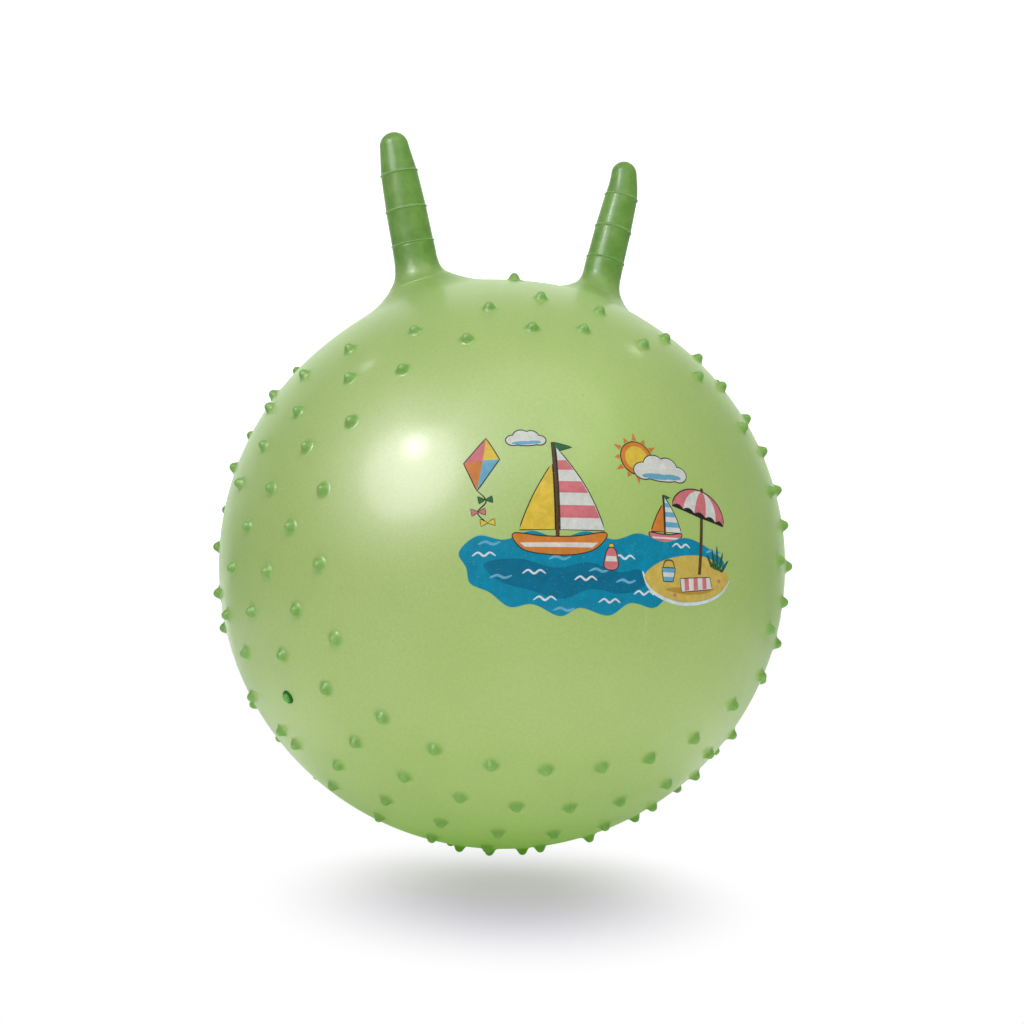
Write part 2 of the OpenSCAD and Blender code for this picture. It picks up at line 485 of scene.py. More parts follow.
class MouldMarks(Group):
    """The relief of a moulded skin: a fine grain, soft waves and a few long faint flow lines."""

    name = "Mould marks"
    inputs = {
        "Place": (VECTOR, None),
        "Grain Scale": (FLOAT, 700.0),
        "Grain": (FLOAT, 0.07),
        "Waves": (FLOAT, 1.0),
        "Flow": (FLOAT, 0.3),
    }
    outputs = {"Height": FLOAT, "Flow Mask": FLOAT}

    def fill(self, nodes: Nodes, given: Outputs) -> Outputs:
        """A flow line lies where a stretched noise crosses one level, and only in patches."""
        place = given["Place"]
        grain = nodes.noise(place, given["Grain Scale"], 2.0, 0.6)
        waves = nodes.noise(place, 14.0, 1.0)
        turned_place = {"Vector": place, "Rotation": (0.3, 0.5, 0.9), "Scale": (9.0, 9.0, 1.6)}
        stretched = nodes.noise(nodes.add("ShaderNodeMapping", turned_place).outputs[0], 1.0, 1.0)
        away = nodes.math("ABSOLUTE", nodes.math("SUBTRACT", stretched, 0.52))
        patches = nodes.step(nodes.noise(place, 16.0, 1.0), 0.6, 0.75)
        flow = nodes.times(nodes.rest(nodes.step(away, 0.0, 0.008)), patches)
        soft = nodes.math("ADD", nodes.times(flow, given["Flow"]), nodes.times(waves, given["Waves"]))
        return {"Height": nodes.math("ADD", nodes.times(grain, given["Grain"]), soft), "Flow Mask": flow}


class Handling(Group):
    """Tiny specks and dull patches from handling: a mask of specks and one of smears."""

    name = "Dust and handling"
    inputs = {"Place": (VECTOR, None), "Scale": (FLOAT, 45.0), "Rarity": (FLOAT, 0.8)}
    outputs = {"Specks": FLOAT, "Smears": FLOAT}

    def fill(self, nodes: Nodes, given: Outputs) -> Outputs:
        """A speck is the middle of a cell whose random colour is above the rarity."""
        cells = nodes.add("ShaderNodeTexVoronoi", {"Vector": given["Place"], "Scale": given["Scale"]})
        near = nodes.rest(nodes.step(cells.outputs["Distance"], 0.012, 0.03))
        parts = nodes.add("ShaderNodeSeparateColor", {0: cells.outputs["Color"]})
        chosen = nodes.math("GREATER_THAN", parts.outputs[0], given["Rarity"])
        smears = nodes.step(nodes.noise(given["Place"], 22.0, 4.0, 0.65), 0.5, 0.75)
        return {"Specks": nodes.times(near, chosen), "Smears": smears}


class Gloss(Enum):
    """How shiny a finish is: base roughness and the roughness of its clear skin."""

    PEARL = (0.52, 0.17)
    INK = (0.45, 0.12)
    WET = (0.32, 0.14)


@dataclass(frozen=True)
class Vinyl:
    """A moulded soft vinyl, thin where the point attribute "wall_share" is 0 and thick where it is 1.

    The same share also carries painted shade on the valve plug and a painted reflection of each
    horn round its foot.

    Attributes:
        name: the material's name.
        light: its colour where the wall is thin.
        deep: its thin colour in the slow darker drifts.
        thick: its colour where the wall is thick.
        thick_deep: its thick colour in the darker mottles.
        raised: colour that a raised line or ring is painted towards, a painted highlight on its ridge.
        gloss: how shiny it is.
        coat: weight of the clear skin where the wall is thin.
        thick_coat: weight of the clear skin where the wall is thick.
        specular: its own shine where the wall is thin.
        thick_specular: its own shine where the wall is thick.
        edge: how far a raised line, at "rim_share" 1, is painted paler as a highlight.
        pearl: share of the metallic lustre.
        bump: depth of the relief, in metres.
        sheen: weight of the bloom at grazing angles.
        bloom: colour of that bloom, as light that comes through the skin.
        specks: share of the specks' darkness.
        speck_colour: colour of a speck.
        flow_colour: colour of a flow line.
        flow_share: how far a flow line shows that colour.
        smear_roughness: how much duller the skin is where it was handled.
        drift_scale: scale of the slow drift, in turns a metre.
        drift_share: how far the drift goes to the deep tone.
        mottle_scale: scale of the mottles where the wall is thick, in turns a metre.
    """

    name: str
    light: Rgba
    deep: Rgba
    thick: Rgba
    thick_deep: Rgba
    raised: Rgba = (0.4, 0.6, 0.2, 1.0)
    gloss: Gloss = Gloss.PEARL
    coat: float = 0.35
    thick_coat: float = 0.35
    specular: float = 0.8
    thick_specular: float = 0.8
    edge: float = 0.0
    pearl: float = 0.01
    bump: float = 0.12 * MM
    sheen: float = 0.34
    bloom: Rgba = (0.5, 0.95, 0.4, 1.0)
    specks: float = 0.5
    speck_colour: Rgba = colour(74, 96, 48)
    flow_colour: Rgba = colour(226, 236, 196)
    flow_share: float = 0.1
    smear_roughness: float = 0.06
    drift_scale: float = 7.0
    drift_share: float = 0.6
    mottle_scale: float = 85.0

    def painted(self, nodes: Nodes, place: Output, marks: bpy.types.Node, dust: bpy.types.Node) -> Output:
        """The skin's colour: drifts, thick parts and painted shade, painted highlights on raised lines,
        specks and flow lines.

        Args:
            nodes: adds nodes to the material.
            place: a point's place.
            marks: the mould marks' group.
            dust: the handling's group.

        Returns:
            The output with the colour.
        """
        drift = {
            "Place": place,
            "Light": self.light,
            "Deep": self.deep,
            "Scale": self.drift_scale,
            "Strength": self.drift_share,
        }
        tone = PearlTone().add_to(nodes, drift)
        mottle = nodes.step(nodes.noise(place, self.mottle_scale, 4.0, 0.65), 0.32, 0.68)
        thick = nodes.mix(mottle, self.thick, self.thick_deep)
        base = nodes.mix(nodes.mark("wall_share"), tone.outputs["Colour"], thick)
        # Painted highlight: raised lines and rings are painted paler.
        base = nodes.mix(nodes.times(nodes.mark("rim_share"), self.edge), base, self.raised)
        base = nodes.mix(nodes.times(dust.outputs["Specks"], self.specks), base, self.speck_colour)
        return nodes.mix(nodes.times(marks.outputs["Flow Mask"], self.flow_share), base, self.flow_colour)

    def material(self) -> bpy.types.Material:
        """Builds the material, if it is not there yet.

        Returns:
            The material.
        """
        found = bpy.data.materials.get(self.name)
        if found is not None:
            return found
        made, nodes = new_material(self.name)
        place = nodes.place()
        dust = Handling().add_to(nodes, {"Place": place})
        marks = MouldMarks().add_to(nodes, {"Place": place})
        relief = nodes.add("ShaderNodeBump", {"Height": marks.outputs["Height"], "Distance": self.bump})
        smears = nodes.times(nodes.math("SUBTRACT", dust.outputs["Smears"], 0.4), self.smear_roughness)
        wall = nodes.mark("wall_share")
        roughness, coat_roughness = self.gloss.value
        looks = {
            "Base Color": self.painted(nodes, place, marks, dust),
            "Metallic": self.pearl,
            "Roughness": nodes.math("ADD", smears, roughness),
            "IOR": 1.5,
            "Specular IOR Level": nodes.between(wall, self.specular, self.thick_specular),
            "Coat Weight": nodes.between(wall, self.coat, self.thick_coat),
            "Coat Roughness": coat_roughness,
            "Coat IOR": 1.45,
            "Sheen Weight": self.sheen,
            "Sheen Roughness": 0.5,
            "Sheen Tint": self.bloom,
            "Normal": relief.outputs[0],
        }
        nodes.end(nodes.add("ShaderNodeBsdfPrincipled", looks))
        return made


# raised and edge paint the horns' rings and fine line paler, a painted highlight on their ridges.
HORN = Vinyl(
    "horn_green_vinyl",
    light=colour(180, 212, 110),
    deep=colour(169, 204, 93),
    thick=colour(124, 172, 73),
    thick_deep=colour(106, 157, 56),
    raised=colour(158, 206, 128),
    thick_coat=0.24,
    thick_specular=0.31,
    edge=0.55,
)
SKIN = replace(HORN, name="pearly_green_skin", edge=0.0)
NUB = Vinyl(
    "nub_green_skin",
    light=SKIN.light,
    deep=SKIN.deep,
    thick=colour(138, 192, 88),
    thick_deep=colour(126, 183, 76),
    thick_coat=0.04,
    thick_specular=0.4,
)
# The plug's thick tones are painted shade on its rim, sides and groove, round the gap it sits in.
PLUG_FINISH = Vinyl(
    "valve_plug_green",
    light=colour(122, 214, 86),
    deep=colour(106, 200, 72),
    thick=colour(26, 118, 30),
    thick_deep=colour(20, 102, 22),
    gloss=Gloss.WET,
    coat=0.1,
    thick_coat=0.04,
    specular=0.22,
    thick_specular=0.12,
    pearl=0.0,
    sheen=0.0,
    specks=0.0,
)


@dataclass(frozen=True)
class PrintInk:
    """A thin layer of screen ink, whose colour is the point attribute "ink".

    Attributes:
        name: the material's name.
        grain: how strongly the ink's grain darkens it.
        grain_tint: what the ink is multiplied by where the grain is strongest.
        wash: how much brighter the ink is where it lies thin.
        hole_share: how far the skin shows in the ink's pin holes.
        specular: strength of the ink's own shine.
        coat: weight of its clear skin.
    """

    name: str
    grain: float = 0.2
    grain_tint: Rgba = colour(186, 186, 176)
    wash: Rgba = (1.14, 1.14, 1.14, 1.0)
    hole_share: float = 0.25
    specular: float = 0.12
    coat: float = 0.1

    def material(self) -> bpy.types.Material:
        """Builds the material.

        Returns:
            The material.
        """
        made, nodes = new_material(self.name)
        place = nodes.place()
        ink = nodes.mark("ink", "Color")
        coarse = nodes.step(nodes.noise(place, 260.0, 3.0, 0.7), 0.35, 0.65)
        grain = nodes.times(nodes.math("ADD", coarse, nodes.noise(place, 1500.0, 2.0, 0.6)), self.grain)
        shaded = nodes.mix(grain, ink, nodes.tinted(ink, self.grain_tint))
        washes = nodes.step(nodes.noise(place, 95.0, 3.0, 0.6), 0.4, 0.72)
        washed = nodes.mix(washes, shaded, nodes.tinted(shaded, self.wash))
        pin_holes = nodes.step(nodes.noise(place, 900.0, 1.0), 0.70, 0.76)
        marks = MouldMarks().add_to(nodes, {"Place": place})
        relief = nodes.add("ShaderNodeBump", {"Height": marks.outputs["Height"], "Distance": SKIN.bump})
        roughness, coat_roughness = Gloss.INK.value
        looks = {
            "Base Color": nodes.mix(nodes.times(pin_holes, self.hole_share), washed, SKIN.light),
            "Roughness": roughness,
            "Specular IOR Level": self.specular,
            "Coat Weight": self.coat,
            "Coat Roughness": coat_roughness,
            "Normal": relief.outputs[0],
        }
        nodes.end(nodes.add("ShaderNodeBsdfPrincipled", looks))
        return made


# The ball


@dataclass
class Ball:
    """The hollow ball with the hole for its valve plug.

    Attributes:
        radius: outer radius.
        centre: the ball's middle.
        valve_axis: direction of the valve from the middle.
        horn_feet: places of the horns' feet.
        wall: how thick the skin is.
        hole_radius: radius of the valve's hole.
        lip: radius of the hole's rounded edge.
        crown: how far the inflated skin rises between the horns.
        crown_reach: how far along X and along Y the crown is felt.
        foot_swell: how far the skin rises round each horn's foot.
        swell_reach: how far from the foot that rise is felt.
        root_and_reflection_peak: share of the horn's darker colour at each foot, for its thicker root and a
            painted reflection of the horn.
        foot_back: what is left of that share on the foot's outer side.
        reflection_aim: how far the foot's darker side, where the painted reflection lies, faces inwards and
            to the front.
        foot_reach: distances from the foot between which it thins out.
        rows: steps from the valve to the far side.
        row_power: above 1, rows lie closer together near the valve.
        lip_rows: steps round the lip.
        columns: steps round the valve's axis.
        probe: the short step, in radians, that finds the skin's slope.
    """

    radius: float
    centre: Array
    valve_axis: Array
    horn_feet: tuple[Array, ...] = ()
    wall: float = 0.8 * MM
    hole_radius: float = 5.15 * MM
    lip: float = 0.25 * MM
    crown: float = 2.1 * MM
    crown_reach: Pair = (85.0 * MM, 75.0 * MM)
    foot_swell: float = 3.2 * MM
    swell_reach: float = 48.0 * MM
    root_and_reflection_peak: float = 0.72
    foot_back: float = 0.45
    reflection_aim: Pair = (0.85, 0.53)
    foot_reach: Pair = (22.0 * MM, 54.0 * MM)
    rows: int = 108
    row_power: float = 1.25
    lip_rows: int = 5
    columns: int = 240
    probe: float = 0.002

    def profile(self) -> Array:
        """The wall's outline, seen from the middle with the valve upwards.

        Outer circle from the far side to the hole, a rounded lip, then the inner circle back:
        (r, s) = radius (sin a, cos a), with the angle a from the valve.

        Returns:
            Rows of radius and height.
        """
        edge = math.asin((self.hole_radius + self.lip) / self.radius)
        share = np.linspace(0.0, 1.0, self.rows) ** self.row_power
        outer_angles = (edge + (math.pi - edge) * share)[::-1]
        outer = self.radius * np.stack([np.sin(outer_angles), np.cos(outer_angles)], axis=1)
        outer[0, 0] = 0.0
        lip_centre = (self.hole_radius + self.lip, outer[-1, 1] - self.lip)
        lip_angles = np.linspace(math.pi / 2, math.pi, self.lip_rows)[1:]
        lip = ellipse(*lip_centre, self.lip, self.lip, lip_angles)
        inner_radius = self.radius - self.wall
        inner_edge = math.asin(self.hole_radius / inner_radius)
        inner_angles = np.linspace(inner_edge, math.pi, self.rows // 2)
        inner = inner_radius * np.stack([np.sin(inner_angles), np.cos(inner_angles)], axis=1)
        inner[-1, 0] = 0.0
        return np.concatenate([outer, lip, inner])

    def place(self, points: Array) -> Array:
        """Turns points from the valve's frame, with the middle at zero, to the model's."""
        return points @ frame_along(self.valve_axis).T + self.centre

    def outwards(self, points: Array) -> Array:
        """Unit directions of the points from the ball's middle."""
        return units(points - self.centre)

    def lift(self, points: Array) -> Array:
        """How far the inflated skin rises over the round ball at each point, along its radius.

        lift = crown e^-(x / reach x)^4 e^-(y / reach y)^2 + swell e^-(d / reach)^2 for each
        horn's foot, with d the distance from it, on the upper half only.

        Args:
            points: n by 3 places near the ball.

        Returns:
            n lifts, in metres.
        """
        out = self.outwards(points)
        x, y, z = (out * self.radius).T
        total = self.crown * np.exp(-((x / self.crown_reach[0]) ** 4) - (y / self.crown_reach[1]) ** 2)
        for foot in self.horn_feet:
            away = np.linalg.norm(out - unit(foot - self.centre), axis=1) * self.radius
            total = total + self.foot_swell * bell(away, 0.0, self.swell_reach)
        return np.where(z > 0.0, total, 0.0)

    def thickness(self, points: Array) -> Array:
        """How dark the skin is made round the horns' feet, from 0 to 1.

        It is partly the thicker moulded root and partly a painted reflection of the horn, strongest
        inwards and to the front of each foot.

        share = root_and_reflection_peak (back + (1 - back) facing) (1 - smooth step of the distance from the
        foot between foot_reach's two ends), where facing is how far the point lies inwards and
        to the front of the foot.

        Args:
            points: n by 3 places near the ball.

        Returns:
            n shares.
        """
        total = np.zeros(len(points))
        inwards, forwards = self.reflection_aim
        for foot in self.horn_feet:
            out = points - foot
            away = np.linalg.norm(out[:, :2], axis=1)
            # Painted reflection: the horn's darker colour is strongest on this side of its foot.
            aim = unit([-inwards * np.sign(foot[0]), -forwards, 0.0])
            facing = np.clip(out @ aim / np.maximum(away, TINY), 0.0, 1.0)
            near = 1.0 - smooth_step(away, *self.foot_reach)
            sided = self.foot_back + (1.0 - self.foot_back) * facing
            total = np.maximum(total, self.root_and_reflection_peak * sided * near)
        return np.where(points[:, 2] > self.centre[2], total, 0.0)

    def skin_normals(self, points: Array) -> Array:
        """Unit normals of the swollen skin under each point.

        Two short steps a and b across the radius give nearby places of the skin, and the normal
        is the cross product of the moves to them.

        Args:
            points: n by 3 places near the ball.

        Returns:
            n by 3 normals.
        """
        out = self.outwards(points)
        frames = np.stack([frame_along(direction) for direction in out])

        def skin(directions: Array) -> Array:
            """Places of the swollen skin in these directions."""
            return self.swell(self.centre + self.outwards(self.centre + directions) * self.radius)

        here = skin(out)
        a, b = (skin(out + self.probe * frames[:, :, axis]) - here for axis in (0, 1))
        return units(np.cross(a, b))

    def swell(self, points: Array, share: Array | float = 1.0) -> Array:
        """Moves points out along the ball's radius by a share of the lift."""
        return points + self.outwards(points) * (self.lift(points) * share)[:, None]

    def build(self) -> None:
        """Makes the skin."""
        surface = turned(self.profile(), self.columns)
        surface.points = self.swell(self.place(surface.points))
        # Round each horn's foot the skin is darker: partly its root, partly a painted reflection of the horn.
        marks = {"wall_share": self.thickness(surface.points)}
        Piece(
            "ball_moulding", surface, SKIN.material(), Body.BALL, Slot.SKIN, ("ball_skin",), marks
        ).build()


@dataclass
class ValvePlug:
    """The push-in plug: a domed head with a rolled rim, a stem and a tapered nose.

    Attributes:
        ball: the ball that it sits in.
        head_radius: radius of the head at its rolled rim.
        rim: radius of the rim's roll.
        side_rise: height of the head's side.
        shoulder: radius of the shoulder above the side.
        shoulder_arc: how far the shoulder turns over into the groove, in radians.
        taper_in: how far the side leans in.
        groove: depth of the groove between shoulder and bead.
        bead_radius: radius of the round bead on top.
        bead_foot_shade: how far the painted shade of the rim reaches onto the bead's foot, from 0 to 1.
        head_rise: height of the bead's top over the seat.
        stem_radius: radius of the stem.
        stem_length: length of the stem and nose.
        stem_fillet: size of the chamfer between stem and head.
        taper: length of the nose.
        nose_radius: radius of the nose's end.
        nose_edge: size of the chamfer at its end.
        seat_drop: how far the seat lies below the ball's outer radius.
        sides: steps round the plug.
        rim_rows: steps round the rim.
        shoulder_rows: steps round the shoulder.
        bead_rows: steps up the bead.
    """

    ball: Ball
    head_radius: float = 5.0 * MM
    rim: float = 0.5 * MM
    side_rise: float = 2.0 * MM
    shoulder: float = 0.7 * MM
    shoulder_arc: float = 0.6 * math.pi
    taper_in: float = 0.15 * MM
    groove: float = 0.15 * MM
    bead_radius: float = 3.4 * MM
    bead_foot_shade: float = 0.5
    head_rise: float = 5.5 * MM
    stem_radius: float = 3.5 * MM
    stem_length: float = 18.0 * MM
    stem_fillet: float = 0.2 * MM
    taper: float = 3.0 * MM
    nose_radius: float = 2.5 * MM
    nose_edge: float = 0.4 * MM
    seat_drop: float = 1.3 * MM
    sides: int = 48
    rim_rows: int = 6
    shoulder_rows: int = 8
    bead_rows: int = 14

    def profile(self) -> Array:
        """The plug's outline: nose, stem, rolled rim, side, shoulder, groove and round bead.

        The bead is a quarter ellipse: (r, s) = (bead radius cos a, groove + rise sin a).

        Returns:
            Rows of radius and height.
        """
        seat = self.ball.radius - self.seat_drop
        nose = seat - self.stem_length
        rim_centre = (self.head_radius - self.rim, seat + self.rim)
        rim_angles = np.linspace(-math.pi / 2, 0.0, self.rim_rows)
        rim = ellipse(*rim_centre, self.rim, self.rim, rim_angles)
        shoulder_centre = (self.head_radius - self.shoulder - self.taper_in, seat + self.side_rise)
        shoulder_angles = np.linspace(0.0, self.shoulder_arc, self.shoulder_rows)
        shoulder = ellipse(*shoulder_centre, self.shoulder, self.shoulder, shoulder_angles)
        groove_s = shoulder[-1, 1] - self.groove
        angles = np.linspace(0.0, math.pi / 2, self.bead_rows)
        rise = seat + self.head_rise - groove_s
        bead = ellipse(0.0, groove_s, self.bead_radius, rise, angles)
        bead[-1, 0] = 0.0
        stem = [
            [0.0, nose],
            [self.nose_radius - self.nose_edge, nose],
            [self.nose_radius, nose + self.nose_edge],
            [self.stem_radius, nose + self.taper],
            [self.stem_radius, seat - self.stem_fillet],
            [self.stem_radius + self.stem_fillet, seat],
        ]
        return np.concatenate([stem, rim, shoulder, bead])

    def build(self) -> None:
        """Makes the plug, with painted shade: dark on its rim, sides and groove, and lighter up its bead."""
        profile = self.profile()
        surface = turned(profile, self.sides)
        # Painted shade: every row below the bead takes the dark tone, fading out up the bead.
        wall = np.ones(len(profile))
        wall[-self.bead_rows :] = np.linspace(self.bead_foot_shade, 0.0, self.bead_rows)
        surface.points = self.ball.place(surface.points)
        marks = {"wall_share": wall[surface.rows]}
        Piece(
            "plug_moulding", surface, PLUG_FINISH.material(), Body.PLUG, Slot.PLUG, ("valve_plug",), marks
        ).build()


@dataclass
class NubField:
    """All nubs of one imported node, each at its place there.

    Attributes:
        ball: the ball that they stand on.
        node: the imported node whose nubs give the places.
        sides: steps round a nub.
        outline: a nub's rows of radius and height over the ball, in millimetres.
        wall_shares: how thick the wall looks at each of these rows.
        flare_height: below this, a row belongs to the skin and is shaded as it.
        tip_slack: how much lower than the highest point a nub's tip may lie.
        tip_grid: places nearer together than this are one tip.
    """

    ball: Ball
    node: str
    sides: int = 12
    outline: tuple[Pair, ...] = (
        (0.0, -0.4), (8.8, -0.4), (9.0, -0.06), (6.9, 0.14), (5.7, 0.42),
        (4.7, 1.2), (3.85, 2.6), (2.95, 4.1), (1.7, 5.2), (0.0, 5.6),
    )
    wall_shares: tuple[float, ...] = (0.0, 0.0, 0.0, 0.14, 0.45, 0.8, 1.0, 0.95, 0.85, 0.8)
    flare_height: float = 0.2 * MM
    tip_slack: float = 0.001 * MM
    tip_grid: float = 0.1 * MM

    def places(self) -> Array:
        """Finds the nubs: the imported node's points that stand furthest out.

        Returns:
            One unit direction a nub, from the ball's middle.
        """
        mesh = bpy.data.objects[self.node].data
        points = np.empty(len(mesh.vertices) * 3)
        mesh.vertices.foreach_get("co", points)
        offsets = points.reshape(-1, 3) - self.ball.centre
        out = np.linalg.norm(offsets, axis=1)
        tips = offsets[out > out.max() - self.tip_slack]
        return units(np.unique(np.round(tips / self.tip_grid), axis=0))

    def one_nub(self) -> tuple[Surface, Array]:
        """Makes a nub that stands up along Z, over a ball round zero.

        Its profile's place over the ball is s = sqrt(R^2 - r^2) + h. Its normals are square to
        the profile, and those of the flared foot are the ball's own.

        Returns:
            The nub, and its normals.
        """
        profile = np.array(self.outline) * MM
        skin = profile[:, 1] < self.flare_height
        profile[:, 1] += np.sqrt(self.ball.radius**2 - profile[:, 0] ** 2)
        nub = turned(profile, self.sides)
        slopes = np.gradient(profile, axis=0)
        across = np.stack([slopes[:, 1], -slopes[:, 0]], axis=1)
        across[skin] = profile[skin]
        across = units(across)
        across[0] = [0.0, -1.0]
        across[-1] = [0.0, 1.0]
        flat = np.hypot(nub.points[:, 0], nub.points[:, 1])
        ring = nub.points[:, :2] / np.maximum(flat, TINY)[:, None]
        return nub, np.column_stack([ring * across[nub.rows, :1], across[nub.rows, 1]])

    def build(self, name: str) -> None:
        """Makes the nubs as one piece: the one nub, turned to each direction and lifted.

        Args:
            name: the piece's name.
        """
        nub, nub_normals = self.one_nub()
        places = self.places()
        frames = np.stack([frame_along(place) for place in places])
        on_ball = places * self.ball.radius + self.ball.centre
        lifts = places * self.ball.lift(on_ball)[:, None]
        points = np.einsum("nij,pj->npi", frames, nub.points) + lifts[:, None] + self.ball.centre
        points = points.reshape(-1, 3)
        normals = np.einsum("nij,pj->npi", frames, nub_normals).reshape(-1, 3)
        starts = range(0, len(points), len(nub.points))
        faces = [[start + number for number in face] for start in starts for face in nub.faces]
        surface = Surface(points, faces, np.tile(nub.rows, len(places)))
        marks = {"wall_share": np.array(self.wall_shares)[surface.rows]}
        Piece(
            name, surface, NUB.material(), Body.BALL, Slot.NUBS, (self.node,), marks, normals
        ).build()


@dataclass(frozen=True)
class HornShape:
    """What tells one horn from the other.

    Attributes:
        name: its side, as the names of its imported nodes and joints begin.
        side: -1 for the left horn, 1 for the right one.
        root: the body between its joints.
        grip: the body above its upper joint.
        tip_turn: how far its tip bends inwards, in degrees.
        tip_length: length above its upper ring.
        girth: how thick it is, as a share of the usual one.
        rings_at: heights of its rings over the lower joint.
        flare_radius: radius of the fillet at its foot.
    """

    name: str
    side: int
    root: Body
    grip: Body
    tip_turn: float
    tip_length: float
    girth: float
    rings_at: Triple
    flare_radius: float


LEFT_HORN = HornShape(
    "left",
    -1,
    Body.LEFT_ROOT,
    Body.LEFT_GRIP,
    tip_turn=0.8,
    tip_length=32.2 * MM,
    girth=1.04,
    rings_at=(27.2 * MM, 54.4 * MM, 83.2 * MM),
    flare_radius=33.0 * MM,
)
RIGHT_HORN = HornShape(
    "right",
    1,
    Body.RIGHT_ROOT,
    Body.RIGHT_GRIP,
    tip_turn=8.0,
    tip_length=29.8 * MM,
    girth=0.96,
    rings_at=(26.2 * MM, 52.6 * MM, 80.2 * MM),
    flare_radius=29.0 * MM,
)


